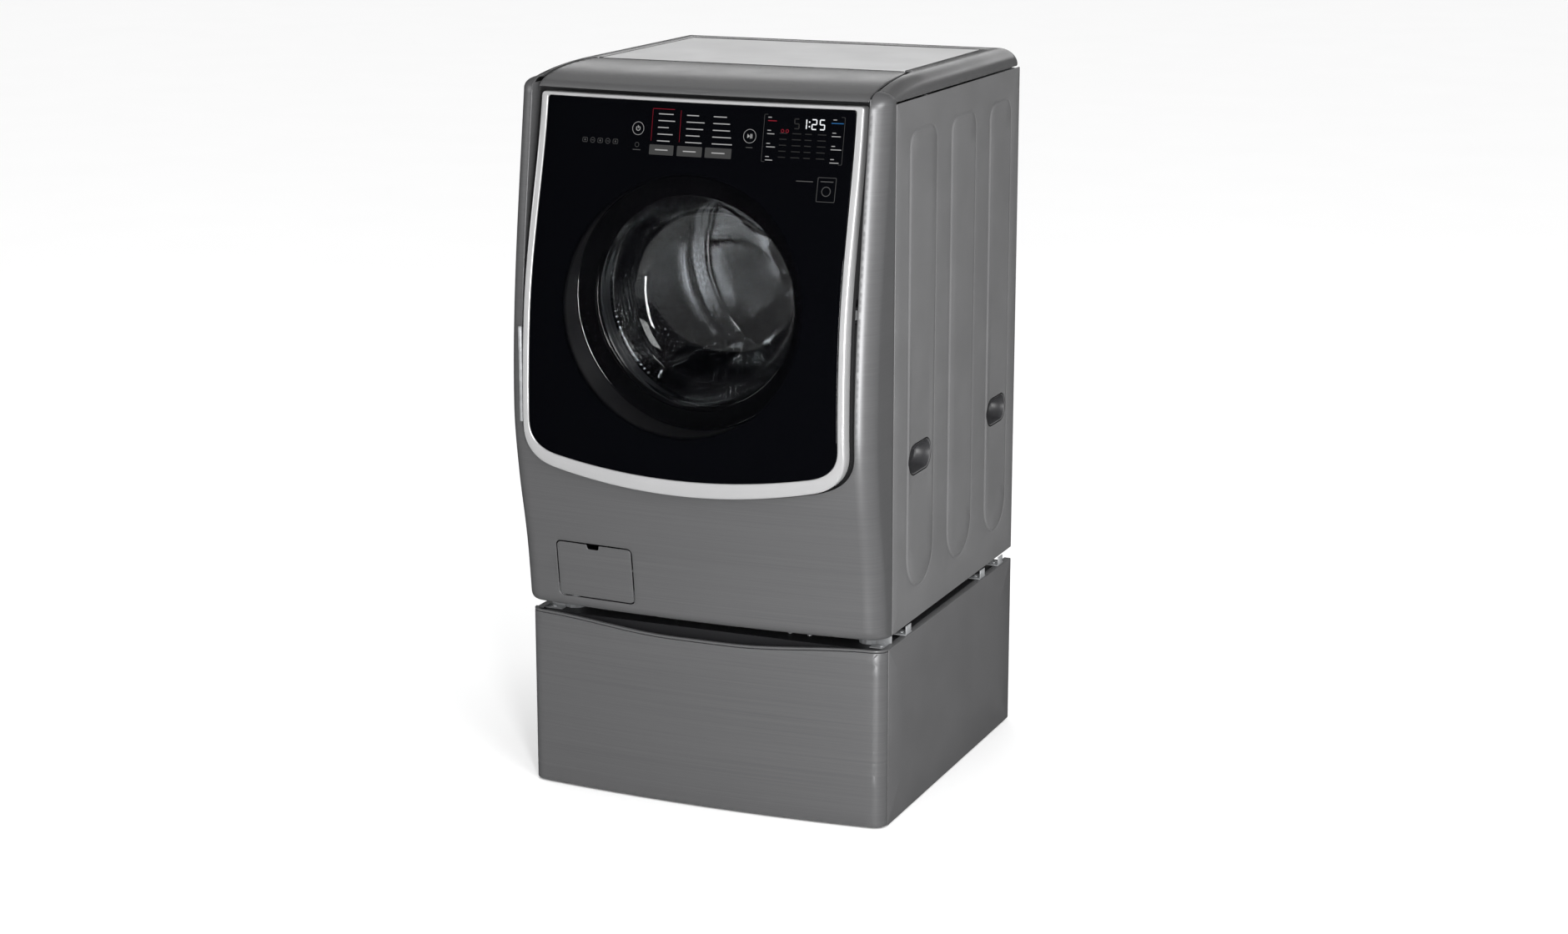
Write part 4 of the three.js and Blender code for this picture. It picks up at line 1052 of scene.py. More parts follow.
def top_frame():
    """Rounded rails along both sides and the rear, with a small lip round the lid and the plate."""
    build = Build()
    wall = 4
    rows = []
    for direction, anchor, inner, top in frame_stations():
        share = max(0.0, abs(inner[0]) - (HALF - FRAME_R)) / FRAME_R if direction[1] == 0 else 0.0
        rise = (top - COVER_Z) / math.sqrt(1 - share**2)
        last = math.acos(share)
        outward = Vector((anchor[0] - inner[0], anchor[1] - inner[1], 0)).normalized()
        row = []
        for k, a in enumerate(spread(0, last, 14)):
            radius = FRAME_R - 1 if k == 0 else FRAME_R
            row.append(rail_point(anchor, direction, radius * math.cos(a), rise * math.sin(a)))
        for inset, drop in ((1.4, 0), (0.4, 0.4), (0, 1.4), (0, wall)):
            row.append((inner[0] + outward.x * inset, inner[1] + outward.y * inset, top - drop))
        for a in spread(last, 0, 6):
            reach, height = (FRAME_R - wall) * math.cos(a), (rise - wall) * math.sin(a)
            row.append(rail_point(anchor, direction, reach, height))
        rows.append(row)
    build.solid(rows)
    return build


def lid_surface(across, along):
    """across runs from -LID_HALF to LID_HALF, along from the front edge to the rear one."""
    angle = (1 - along / LID_ARC) * math.pi / 2
    y = LID_END - (LID_END - lid_front(across)) * math.sin(angle)
    z = LID_LOW + (TOP - 0.5 - LID_LOW) * math.cos(angle)
    half = lid_half(y) - 3 - 5 * smooth(LID_END - 14, LID_END, y)
    far = math.hypot(across / DIMPLE[0], (along - 26) / DIMPLE[1])
    z -= DIMPLE[2] * (1 - smooth(0.2, 1, far))
    return across * half / LID_HALF, y, z


def dispenser_lid():
    """The lid's curved skin with its hinge barrel and pin along the rear edge."""
    build = Build()
    outline = rounded_rect(-LID_HALF, LID_HALF, 0, LID_ARC, 5, 3, 4)
    dense = []
    for a, b in zip(outline, outline[1:] + outline[:1]):
        n = max(1, round(math.dist(a, b) / 12))
        dense += [(a[0] + (b[0] - a[0]) * k / n, a[1] + (b[1] - a[1]) * k / n) for k in range(n)]
    fields = [(-LID_HALF + 4, LID_HALF - 4, 4, LID_ARC - 4, 12, 7), (-36, 36, 15, 38, 3, 3)]
    formed(build, dense, [], lid_surface, 3, 1.5, fields)
    y, z = LID_REAR - 4.5, TOP - 5
    barrel_x = LID_REAR_HALF - 12
    pin_x = LID_REAR_HALF - 1
    barrel = [(y + 4.5 * math.cos(a), z + 4.4 * math.sin(a)) for a in full_turn(20)]
    strap = [(LID_END - 2, TOP - 3.5), (y, TOP - 3.5), (y, TOP - 0.6), (LID_END - 2, TOP - 0.6)]
    prism(build, barrel, (-barrel_x, barrel_x), "x", 0.8)
    prism(build, circle(y, z, 2, 12), (-pin_x, pin_x), "x", 0.3)
    prism(build, strap, (-barrel_x, barrel_x), "x", 0.3)
    return build


def top_plate():
    """The flat plate between the top's rails."""
    build = Build()
    outline = rounded_rect(-PLATE_HALF, PLATE_HALF, LID_REAR + 1, PLATE_END, 2, steps=3)

    def surface(x, y):
        return x, y, TOP - 0.7

    formed(build, outline, [], surface, 3.3, 1.0, [(-300, 300, -60, 330, 60, 60)])
    return build


# ---------------------------------------------------------------- door
def frame_row(start, end, inset, sink):
    """Points at a distance from one outline towards the other, sunk behind the door's face."""
    row = []
    for (ax, az), (bx, bz) in zip(start, end):
        t = inset / math.dist((ax, az), (bx, bz))
        x, z = ax + (bx - ax) * t, az + (bz - az) * t
        row.append((x, door_y(x, z) + sink, z))
    return row


def door_frame():
    """The chrome frame: a rounded outer edge, a gently crowned face, a bevel down to the glass and a back
    that slants from the glass to the outer edge."""
    build = Build()
    outer = door_outline(**RIM)
    inner = door_outline(**grown(GLASS, GAP))
    outer_edge = [(0, RIM_DEPTH), (0, 4), (0.35, 2.2), (1.3, 1.0), (2.8, 0.35), (5, 0.1)]
    glass_edge = [(3.2, 0.3), (1.6, 0.9), (0.4, 2.2), (0, 3.4)]
    crest = []
    for (ax, az), (bx, bz) in zip(outer, inner):
        x, z = (ax + bx) / 2, (az + bz) / 2
        crest.append((x, door_y(x, z), z))
    rows = [frame_row(outer, inner, *step) for step in outer_edge]
    rows += [crest]
    rows += [frame_row(inner, outer, *step) for step in glass_edge]
    build.grid(rows, wrap=True, close=True)
    return build


def door_glass():
    build = Build()

    def surface(x, z):
        return x, door_y(x, z) + GLASS_SUNK, z

    fields = [(-306, 306, 676, 1340, 16, 16)]
    formed(build, door_outline(**GLASS), [], surface, GLASS_T - GLASS_SUNK, 1.0, fields)
    return build


def door_inner_cover():
    """Black moulding behind the glass: mask, side wall, boss of the porthole and rear plate."""
    build = Build()
    face = GLASS_T + 1
    field = [(-300, 300, 680, 1340, 24, 24)]
    hole = circle(0, AXIS_Z, PORTHOLE_R, 128)
    wide_hole = circle(0, AXIS_Z, PORTHOLE_R + 6, 128)

    def front(x, z):
        return x, door_y(x, z) + face, z

    def rear(x, z):
        return -x, skin_y(x, z) + COVER_BACK, z

    formed(build, door_outline(**grown(GLASS, -0.6)), [hole], front, 2, 0.5, field)
    wall = []
    for inset, back in ((0.3, False), (0.3, True), (2.8, True), (2.8, False)):
        ring = door_outline(**grown(GLASS, -0.6 - inset))
        wall.append([(x, skin_y(x, z) + COVER_BACK - 2.6 if back else door_y(x, z) + face + 1.6, z)
                     for x, z in ring])
    build.grid(wall, wrap=True, close=True)
    formed(build, door_outline(**grown(RIM, -7)), [wide_hole], rear, 3, 2, field)
    boss = []
    for grow, y in ((0, None), (0, -335), (1, -334), (5, -334), (6, -335), (6, None)):
        ring = circle(0, AXIS_Z, PORTHOLE_R + grow, 128)
        boss.append([(x, door_y(x, z) + face + 0.5 if y is None else y, z) for x, z in ring])
    build.grid(boss, wrap=True, close=True)
    x, y = LATCH
    for rise in (9.5, -15.5):
        block(build, (x - 5, x + 5), (skin_y(x, AXIS_Z) + COVER_BACK - 1, y + 5),
              (AXIS_Z + rise, AXIS_Z + rise + 6), 0.6)
    return build


def porthole_ring():
    """Dark gloss ring round the window: an outer lip, a deep cone and a rolled inner edge."""
    build = Build()
    r = PORTHOLE_R - 0.5
    section = [(r, -342), (r, -335), (212, -322.4), (197, -322.4), (197, -327), (201, -331), (206, -330),
               (214, -333), (r - 6, -341)]
    turned(build, fillet(section, 2.5, 3), segments=192)
    return build


def window_lip():
    """Two thin bright beads on the window's ring."""
    build = Build()
    for r, y, bead in ((PORTHOLE_R - 3, -342.5, 1.3), (218, -327, 0.9)):
        turned(build, circle(r, y, bead, 12), segments=192)
    return build


def door_bowl():
    """The window's deep glass bowl with its flange."""
    build = Build()
    outside = [(0.0, -205.5), (60, -207), (118, -211.5), (144, -218), (161, -227), (173, -239),
               (181, -254), (187, -272), (191, -292), (195, -322)]
    flange = [(211, -322), (211, -316)]
    inside_wall = [(201, -316), (198.5, -303), (196.5, -290), (192.5, -270), (186.5, -250), (178, -234),
                   (165, -221), (146, -211), (120, -206), (60, -201.5), (0.0, -200)]
    section = smooth_profile(outside + flange + inside_wall, 2)
    turned(build, section, segments=144, closed=False)
    return build


# ---------------------------------------------------------------- signs printed on the glass
def printed(build, outline, proud=SIGN_PROUD):
    """A flat sign that stands a little proud of the glass."""
    rows = [[(x, door_y(x, z) + GLASS_SUNK - lift, z) for x, z in outline] for lift in (-SIGN_SUNK, proud)]
    build.solid(rows)


def printed_loop(build, path, width):
    """A closed line of constant width on the glass."""
    rim = [offset(path, -width / 2), offset(path, width / 2)]
    rows = []
    for k, lift in ((0, -SIGN_SUNK), (0, SIGN_PROUD), (1, SIGN_PROUD), (1, -SIGN_SUNK)):
        rows.append([(x, door_y(x, z) + GLASS_SUNK - lift, z) for x, z in rim[k]])
    build.grid(rows, wrap=True, close=True)


def printed_line(build, path, width):
    """Straight strokes with square ends along the points of a path on the glass."""
    for (x0, z0), (x1, z1) in zip(path, path[1:]):
        length = math.dist((x0, z0), (x1, z1))
        dx, dz = (x1 - x0) / length * width / 2, (z1 - z0) / length * width / 2
        printed(build, [(x0 - dx + dz, z0 - dz - dx), (x1 + dx + dz, z1 + dz - dx),
                        (x1 + dx - dz, z1 + dz + dx), (x0 - dx - dz, z0 - dz + dx)])


def bar(build, x0, x1, z, height=1.6, proud=SIGN_PROUD):
    """A level bar with rounded ends, where a word would stand."""
    low, high = z - height / 2, z + height / 2
    printed(build, fillet([(x0, low), (x1, low), (x1, high), (x0, high)], height * 0.4, 2), proud)


def digit(build, sign, x):
    """One seven segment digit with its lower left corner at x on the display's line."""
    width, height, line = DIGIT
    mid = height / 2
    strokes = dict(a=((0, height), (width, height)), b=((width, height), (width, mid)),
                   c=((width, mid), (width, 0)), d=((0, 0), (width, 0)), e=((0, 0), (0, mid)),
                   f=((0, mid), (0, height)), g=((0, mid), (width, mid)))
    for name in SEGMENTS[sign]:
        (ax, az), (bx, bz) = strokes[name]
        length = math.dist((ax, az), (bx, bz))
        tx, tz = (bx - ax) / length * line * 0.65, (bz - az) / length * line * 0.65
        ends = [(x + ax + tx, DIGIT_Z + az + tz), (x + bx - tx, DIGIT_Z + bz - tz)]
        printed_line(build, ends, line)


def white_signs():
    """The power and start signs, the program names and the labels beside the display."""
    build = Build()
    for x, z, r in (POWER, START):
        printed_loop(build, circle(x, z, r, 64), 0.7)
    x, z, _ = POWER
    angles = spread(math.radians(125), math.radians(415), 24)
    arc = [(x + 3.8 * math.cos(a), z + 3.8 * math.sin(a)) for a in angles]
    printed_line(build, arc, 1.1)
    printed_line(build, [(x, z + 0.8), (x, z + 5)], 1.1)
    x, z, _ = START
    printed(build, [(x - 4.5, z - 3.8), (x + 0.2, z), (x - 4.5, z + 3.8)])
    for along in (1.6, 4.2):
        printed_line(build, [(x + along, z - 3.2), (x + along, z + 3.2)], 1.4)
    for x, lengths in PROGRAMS:
        for row, length in enumerate(lengths):
            bar(build, x, x + length, 1329 - 12 * row, 1.7)
    for x in (143, 266):
        for row in range(4):
            bar(build, x, x + 7, 1333 - 23 * row, 1.4)
    for x, end in ((143, 160), (265, 285)):
        for row in range(1, 4):
            bar(build, x, end - 3 * (row % 2), 1327 - 23 * row, 1.4)
    return build


def dim_signs():
    """The display's border, the small signs at the left, under the round keys and below the display."""
    build = Build()
    x0, x1, z0, z1 = DISPLAY
    printed_loop(build, rounded_rect(x0, x1, z0, z1, 1.5, steps=2), 0.5)
    printed_loop(build, circle(POWER[0], 1272, 4, 24), 0.7)
    bar(build, -121, -105, 1263, 1.4)
    bar(build, 104, 117, 1278, 1.4)
    for k, x in enumerate((-222, -206, -190, -174, -158)):
        if k % 2:
            printed_loop(build, circle(x, 1275, 4.6, 32), 0.8)
            bar(build, x - 2.4, x + 2.4, 1275, 1.0)
        else:
            frame_line = fillet([(x - 5, 1271), (x + 5, 1271), (x + 5, 1279), (x - 5, 1279)], 2.5, 4)
            printed_loop(build, frame_line, 0.8)
            printed(build, circle(x, 1275, 1.8, 16))
    x0, x1, z0, z1 = BADGE
    printed_loop(build, rounded_rect(x0, x1, z0, z1, 1.5, steps=3), 0.9)
    bar(build, x0 + 5, x1 - 5, z1 - 7, 1.6)
    printed_loop(build, circle((x0 + x1) / 2, 1208, 8, 40), 1.4)
    bar(build, 206, 238, 1224, 1.6)
    return build


def unlit_signs():
    """Labels and a digit of the display that are switched off and hardly show; they get a faint painted
    glow though no lamp lights them.
    """
    build = Build()
    for row in range(5):
        for column, width in enumerate((14, 17, 13, 16)):
            start = 167 + 24 * column
            bar(build, start, start + width, 1306 - 10.5 * row, 1.7)
    digit(build, "5", 194)
    return build


def key_signs():
    build = Build()
    for x0, x1 in KEYS:
        printed(build, rounded_rect(x0, x1, *KEY_Z, 1.5, steps=4))
    return build


def key_labels():
    build = Build()
    for x0, x1 in KEYS:
        middle = (x0 + x1) / 2
        bar(build, middle - 13, middle + 13, sum(KEY_Z) / 2, 2.0, 2 * SIGN_PROUD)
    return build


def time_digits():
    build = Build()
    for sign, x in (("1", 208), ("2", 227), ("5", 242)):
        digit(build, sign, x)
    for z in (1319.5, 1327.5):
        printed(build, circle(222, z, 1.4, 16))
    return build


def red_signs():
    build = Build()
    for x in (-85, -28):
        printed_line(build, [(x, 1281), (x, 1337)], 0.6)
    bar(build, -85, -41, 1338, 0.9)
    bar(build, 143, 160, 1327, 1.5)
    for x in (172, 181):
        printed_loop(build, circle(x, 1310, 2.6, 20), 1.0)
    return build


def blue_signs():
    build = Build()
    bar(build, 263, 286, 1327, 1.5)
    return build


# ---------------------------------------------------------------- gasket and drum
def door_gasket():
    """Bellows between the bulkhead's mouth and the tub, with its sealing lip for the bowl."""
    build = Build()
    front = [(255.2, -299), (250, -301), (243, -296), (235, -302), (226, -299), (214, -303), (205, -303)]
    lip = [(203.5, -300.5), (207, -297), (213, -294), (216, -284), (212.5, -277), (216, -270)]
    neck = [(214.5, -256), (221.4, -256), (221.4, -279), (227, -285)]
    back = [(235, -296), (243, -290), (250, -293), (255.2, -287)]
    turned(build, fillet(front + lip + neck + back, 2.5, 3), segments=160)
    return build


def drum_shell():
    """The drum's wall, rolled in at the front to a rounded lip."""
    build = Build()
    r = DRUM_R
    section = [(r + 1.3, 284), (r, 284), (r, 262), (r, 180), (r, 60), (r, -60), (r, -180), (r, -231),
               (r - 1.5, -235), (r - 5, -237.5), (240, -242), (219, -243.8), (215.5, -242.6), (214, -241),
               (213.6, -242), (216, -244.8), (219, -245.2), (r - 4, -239), (r, -236), (r + 1.3, -231.5)]
    turned(build, section, segments=192)
    return build


def boss_ring(angle, y, r, height):
    """One ring of a boss on the drum's wall, at a height above the wall."""
    reach = DRUM_R - height
    ring = []
    for a in full_turn(8):
        at = angle + r * math.cos(a) / DRUM_R
        ring.append((reach * math.cos(at), y + r * math.sin(a), AXIS_Z + reach * math.sin(at)))
    return ring


def drum_bosses():
    """Small bosses between the holes of the drum's wall."""
    build = Build()
    section = [(3.0, -0.4), (2.5, 0.7), (1.2, 1.3)]
    across = round(2 * math.pi * DRUM_R / DRUM_PITCH)
    for row in range(-16, 18):
        y = (row + 0.5) * DRUM_PITCH
        for column in range(across):
            angle = 2 * math.pi * (column - 0.5 * (row % 2)) / across
            build.solid([boss_ring(angle, y, r, height) for r, height in section])
    return build


def arm_share(r, angle):
    """1 on one of the three raised arms of the drum's rear wall, 0 in the fields between them."""
    share = 0.0
    for degrees in ARM_ANGLES:
        away = math.radians((math.degrees(angle) - degrees + 180) % 360 - 180)
        if abs(away) < math.pi / 2:
            width = 20 + 46 * ((r - 120) / 130) ** 2
            share = max(share, 1 - smooth(width, width + 11, abs(r * math.sin(away))))
    return share


def rear_wall_y(r, angle):
    """A shallow dish with three raised arms that leave lens shaped fields between, and a beaded rim."""
    dish = 262 + 19 * smooth(60, 240, r)
    hub = 1 - smooth(48, 70, r)
    edge = smooth(236, 246, r)
    bead = 4 * smooth(246, 251, r) * (1 - smooth(255, 260, r))
    return dish - 22 * max(arm_share(r, angle) * (1 - edge), hub) - bead


def drum_rear():
    build = Build()
    angles = full_turn(240)
    rows = []
    for r in [*spread(0.5, 232, 58), *spread(234, 272, 24)]:
        rows.append([(r * math.cos(a), rear_wall_y(r, a), AXIS_Z + r * math.sin(a)) for a in angles])
    back = [[(x, y + 1.2, z) for x, y, z in row] for row in rows[::-1]]
    rim = [[(x, y, z) for x, z in circle(0, AXIS_Z, DRUM_R - 0.6, len(angles))] for y in (281, 283)]
    build.solid([*rows, *rim, *back])
    return build


def rear_dimples():
    """Small domes pressed into the three fields of the rear wall."""
    build = Build()
    for row in range(-16, 17):
        for column in range(-16, 17):
            x = (column + 0.5 * (row % 2)) * DRUM_PITCH
            z = row * DRUM_PITCH * 0.87
            r, angle = math.hypot(x, z), math.atan2(z, x)
            if 80 < r < 228 and arm_share(r, angle) <= 0.02:
                dome(build, x, rear_wall_y(r, angle) + 0.6, AXIS_Z + z, 3.4, 2.2)
    return build


def dome(build, x, y, z, r, height):
    """A low cap that stands out towards -Y."""
    rows = []
    for degrees in (0, 30, 60, 82):
        a = math.radians(degrees)
        rows.append([(px, y - height * math.sin(a), pz) for px, pz in circle(x, z, r * math.cos(a), 12)])
    build.solid(rows)


def drum_lifter(angle):
    """A paddle with a rounded crest, drawn out along the drum and falling off at both ends."""
    build = Build()
    foot = DRUM_R - 3.4
    crest = [(46, 3.5), (30, 8), (20, 17), (15.5, 32), (13.5, 48), (9.5, 58), (4, 62.5), (0, 63.5)]
    half = smooth_profile(crest, 2)
    outline = half + [(-a, h) for a, h in half[::-1][1:]]
    heights = [(-196, 0.02), (-195.5, 0.3), (-193, 0.55), (-186, 0.8), (-174, 0.94), (-155, 1.0),
               (-60, 0.97), (40, 0.97), (190, 1.0), (215, 0.93), (230, 0.75), (238, 0.45), (240, 0.02)]
    cos, sin = math.cos(math.radians(angle)), math.sin(math.radians(angle))
    rows = []
    for y, height in heights:
        row = []
        for x, h in outline:
            z = -foot + 3.5 + (h - 3.5) * height
            row.append((x * cos + z * sin, y, AXIS_Z - x * sin + z * cos))
        rows.append(row)
    build.solid(rows)
    return build


def tub_spring(x):
    """A tension spring with an upright hook at both ends."""
    build = Build()
    turns = 11
    coil = 13.0
    low, high = SPRING_Z[0] + 14, SPRING_Z[1] - 14
    path = [(x, 0, SPRING_Z[0] - 2), (x, 0, low - 6), (x + 6, 0, low - 2)]
    for t in spread(0, 1, 18 * turns):
        a = 2 * math.pi * turns * t
        path.append((x + coil * math.cos(a), coil * math.sin(a), low + (high - low) * t))
    path += [(x + 6, 0, high + 2), (x, 0, high + 6), (x, 0, SPRING_Z[1] + 2)]
    tube(build, path, 2.2, 8)
    return build


def sump_hose():
    """Corrugated rubber hose from the tub's sump to the pump, smooth under its two clamps."""
    build = Build()
    corners = smooth_profile(HOSE, 3)
    lengths = [0.0]
    for a, b in zip(corners, corners[1:]):
        lengths.append(lengths[-1] + math.dist(a, b))
    path, radii = [], []
    for at in spread(0, lengths[-1], 120):
        i = min(len(corners) - 2, max(k for k, v in enumerate(lengths) if v <= at + 1e-9))
        t = (at - lengths[i]) / (lengths[i + 1] - lengths[i])
        path.append(tuple(p + (q - p) * t for p, q in zip(corners[i], corners[i + 1])))
        edge = min(at, lengths[-1] - at)
        radii.append(18.6 + 1.4 * (math.cos(2 * math.pi * at / 12) if edge > 18 else 0.4))
    tube(build, path, radii, 24)
    return build


# ---------------------------------------------------------------- pump flap and filter
def pump_flap():
    """The flap with the finger notch in its upper edge."""
    build = Build()
    x0, x1, z0, z1 = FLAP
    g = FLAP_GAP
    outline = rounded_rect(x0 + g, x1 - g, z0 + g, z1 - g, FLAP_R - g, steps=6)
    top = z1 - g
    notch = fillet([(-195, top), (-196.5, top - 9), (-220.5, top - 9), (-222, top)], [0, 5, 5, 0], 4)
    i = next(k for k, p in enumerate(outline) if p[1] > top - 0.01)
    outline = outline[: i + 1] + notch + outline[i + 1:]
    curved = [(s_of_x(x), z) for x, z in dedupe(outline)]
    formed(build, curved, [], front_surface, SHEET, 0.8, [(s_of_x(x0), s_of_x(x1), z0, z1, 12, 12)])
    return build


def filter_cap():
    """A round cap with a bar to grip it by and a ribbed edge."""
    build = Build()
    x, z = FILTER
    section = [(0.0, -258), (28, -258), (30, -256), (33, -254), (33, -237), (0.0, -237)]
    turned(build, fillet(section, [0, 0.5, 1, 1, 1, 0], 2), FILTER, segments=64, closed=False)
    grip = fillet([(x - 26, -256), (x - 24, -274), (x + 24, -274), (x + 26, -256)], 3, 3)
    prism(build, grip, (z - 4.5, z + 4.5), "z", 1.2)
    for cx, cz in circle(x, z, 32.2, 24):
        prism(build, circle(cx, cz, 0.9, 8), (-252, -239), "y", 0.3)
    return build


# ---------------------------------------------------------------- pedestal
def pedestal_front_y(x):
    """The drawer's face bulges a little in its middle."""
    return PED_SEAM - PED_R - PED_BULGE * (1 - min(1.0, (x / (HALF - PED_R)) ** 2))


# lengths along the drawer front's plan curve: its face and its face with the corner arc
PED_S1 = HALF - PED_R
PED_S2 = PED_S1 + PED_R * math.pi / 2


def drawer_top(x):
    """Upper edge of the drawer front, dipped in its middle."""
    return 351 - 16 * (1 - smooth(60, HALF - 30, abs(x)))


def drawer_surface(s, z):
    """The drawer front by the length s along its plan curve, with its rounded corners."""
    a = abs(s)
    if a <= PED_S1:
        return s, pedestal_front_y(s) - 2 * GAP, z
    angle = (a - PED_S1) / PED_R
    x = PED_S1 + PED_R * math.sin(min(angle, math.pi / 2))
    y = PED_SEAM - PED_R * math.cos(min(angle, math.pi / 2)) - 2 * GAP
    return math.copysign(x, s), y, z


def drawer_front():
    """The curved face and the cap strip along its upper edge."""
    build = Build()
    low = 4.0
    xs = spread(-PED_S2 + DRAWER_SEAM, PED_S2 - DRAWER_SEAM, 90)
    top = [(s, drawer_top(min(abs(s), HALF))) for s in xs[::-1]]
    outline = [(s, low) for s in xs] + [(s, z - 5.5) for s, z in top]
    strip = [(s, z - 4.3) for s, z in top[::-1]] + top
    fields = [(-PED_S1, PED_S1, low + 6, 330, 16, 24)]
    for a, b in ((-PED_S2, -PED_S1), (PED_S1, PED_S2)):
        fields.append((a + 2, b - 2, low + 6, 344, 4, 24))
    formed(build, outline, [], drawer_surface, 6, 1.0, fields)
    formed(build, strip, [], drawer_surface, 6, 1.2, [(-PED_S2, PED_S2, low, 351, 6, 1.4)])
    return build


def drawer_spacer():
    """The folded box that joins the drawer's face to its body."""
    build = Build()
    walls = [
        ((-335, 335), (28, 33)),
        ((-335, 335), (293, 298)),
        ((-335, -330), (32, 294)),
        ((330, 335), (32, 294)),
    ]
    for xs, zs in walls:
        block(build, xs, (PED_SEAM - 19, PED_SEAM - 4.6), zs, 0.6)
    return build


def pedestal_side():
    """Side sheet with its folded upper lip and the drawer's outer channel."""
    build = Build()

    def surface(y, z):
        return HALF, y, z

    outline = rounded_rect(PED_SEAM, BACK, 2, PED_TOP, 1.5, steps=2)
    formed(build, outline, [], surface, SHEET, 1.0, [(PED_SEAM, BACK, 2, PED_TOP, 80, 80)])
    lip = [(HALF - 14, PED_TOP - 2), (HALF - 1, PED_TOP - 2), (HALF - 1, PED_TOP), (HALF - 14, PED_TOP)]
    channel = [(342, 141), (366.9, 141), (366.9, 179), (342, 179), (342, 177), (364.9, 177), (364.9, 143),
               (342, 143)]
    for section, edge, ends in ((lip, 0.6, (PED_SEAM + 1, BACK - 1)), (channel, 0.8, (-262, 302))):
        build.solid([[(x, y, z) for x, z in fillet(section, edge, 2)] for y in ends])
    return build


def pedestal_foot(x, y):
    build = Build()
    section = [(0.0, 0), (20, 0), (21, 2), (21, 7), (9, 9.6), (0.0, 9.6)]
    turned(build, fillet(section, [0, 0.8, 0.8, 1.5, 1, 0], 3), (x, y), "z", 48, closed=False)
    return build


def stacking_brackets():
    """Bent plates and screws that hold the washer on the pedestal's deck."""
    build = Build()
    for side in (-1, 1):
        x = side * 342
        block(build, (x - 20, x + 20), (-262, -226), (DECK_Z, DECK_Z + 1.8), 0.5)
        block(build, (x - 16, x + 16), (-240, -238), (DECK_Z + 1, WASHER_Z + 2), 0.5)
        screw(build, (x, -252, DECK_Z + 1.8), (0, 0, 1), 4.5)
        for y in (-165, 255, 365):
            foot = sorted((side * 340, side * 364))
            upright = sorted((side * 362, side * 364))
            block(build, foot, (y - 17, y + 17), (PED_TOP - 1, PED_TOP + 1), 0.5)
            block(build, upright, (y - 13, y + 13), (PED_TOP, WASHER_Z - 7), 0.5)
            screw(build, (side * 350, y, PED_TOP + 1), (0, 0, 1), 4.2)
    for x in (-90, -30, 150, 190):
        screw(build, (x, -235, DECK_Z + 1), (0, 0, 1), 4.5)
    return build


# ---------------------------------------------------------------- rear
def rear_rise(x, z):
    """How far the rear sheet is pressed out: a round cover with a ring in it, and four ribs beside it."""
    r = math.hypot(x, z - AXIS_Z)
    if 1220 - 13 < z < 1300 and (160 < x < 330 or -300 < x < -200):
        return 0
    rise = 7.5 * (1 - smooth(182, 190, r)) - 2.5 * (1 - smooth(128, 134, r)) * smooth(20, 26, r)
    for rib in (470, 560, 650, 1220):
        rise += 4 * (1 - smooth(7, 13, abs(z - rib))) * (1 - smooth(300, 312, abs(x))) * smooth(200, 206, r)
    return rise


def rear_panel():
    """Rear sheet with openings for the ports; seen from behind, so that its outline runs along -X."""
    build = Build()

    def surface(u, z):
        return -u, REAR_Y + SHEET + rear_rise(-u, z), z

    outline = rounded_rect(-365.5, 365.5, 376.5, 1360, 3, steps=3)
    ports = [(-288, -172, 1232, 1298), (-324, -276, 1126, 1174), (218, 282, 1236, 1284)]
    holes = [rounded_rect(*port, 4, steps=3) for port in ports]
    rings = [circle(0, AXIS_Z, r, 120) for r in (20, 26, 128, 134, 182, 186, 190)]
    formed(build, outline, holes, surface, SHEET, 0.6, [(-365, 365, 377, 1359, 12, 12)], rings)
    return build


def screw(build, at, axis, r=4.2):
    """A pan head with a cross recess. axis is the direction in which the head looks."""
    n = Vector(axis).normalized()
    u = n.orthogonal().normalized()
    v = n.cross(u)

    def point(radius, a, height):
        return tuple(Vector(at) + n * height + radius * (u * math.cos(a) + v * math.sin(a)))

    rows = []
    for share, height in ((1, 0), (1, 0.8), (0.92, 1.6), (0.7, 2.2), (0.42, 2.45)):
        rows.append([point(share * r, a, height) for a in full_turn(24)])
    for height in (2.45, 1.2):
        cross = []
        for k, a in enumerate(full_turn(24)):
            reach = 0.42 if k % 6 in (0, 1, 5) else 0.16
            cross.append(point(reach * r, a, height))
        rows.append(cross)
    build.solid(rows)


def rear_screws():
    build = Build()
    face = REAR_Y + SHEET
    places = [(x, face, z) for x in (-356, 356) for z in (420, 640, 860, 1080, 1300)]
    places += [(x, face, z) for x in (-240, -80, 80, 240) for z in (1350, 388)]
    for k in range(6):
        a = math.radians(60 * k + 30)
        places.append((170 * math.cos(a), face + 7.4, AXIS_Z + 170 * math.sin(a)))
    for place in places:
        screw(build, place, (0, 1, 0))
    return build


# ---------------------------------------------------------------- which body carries which piece
def assemble_cabinet():
    piece(front_panel(), "front_skin", "cabinet", FRONT_STEEL, ["front_panel"])
    pair(side_panel(), "side_skin", "cabinet", SIDE_PAINT, "side_panel")
    for end, grip in zip(("front", "rear"), GRIPS):
        pair(hand_grip(*grip), "hand_grip_" + end, "cabinet", GRIP_PLASTIC)
    piece(top_frame(), "top_rails", "cabinet", COVER_METAL, ["top_frame"])
    piece(top_plate(), "top_sheet", "cabinet", TOP_PAINT, ["top_plate"])
    piece(dispenser_lid(), "lid_skin", "lid", COVER_METAL, ["dispenser_lid"])


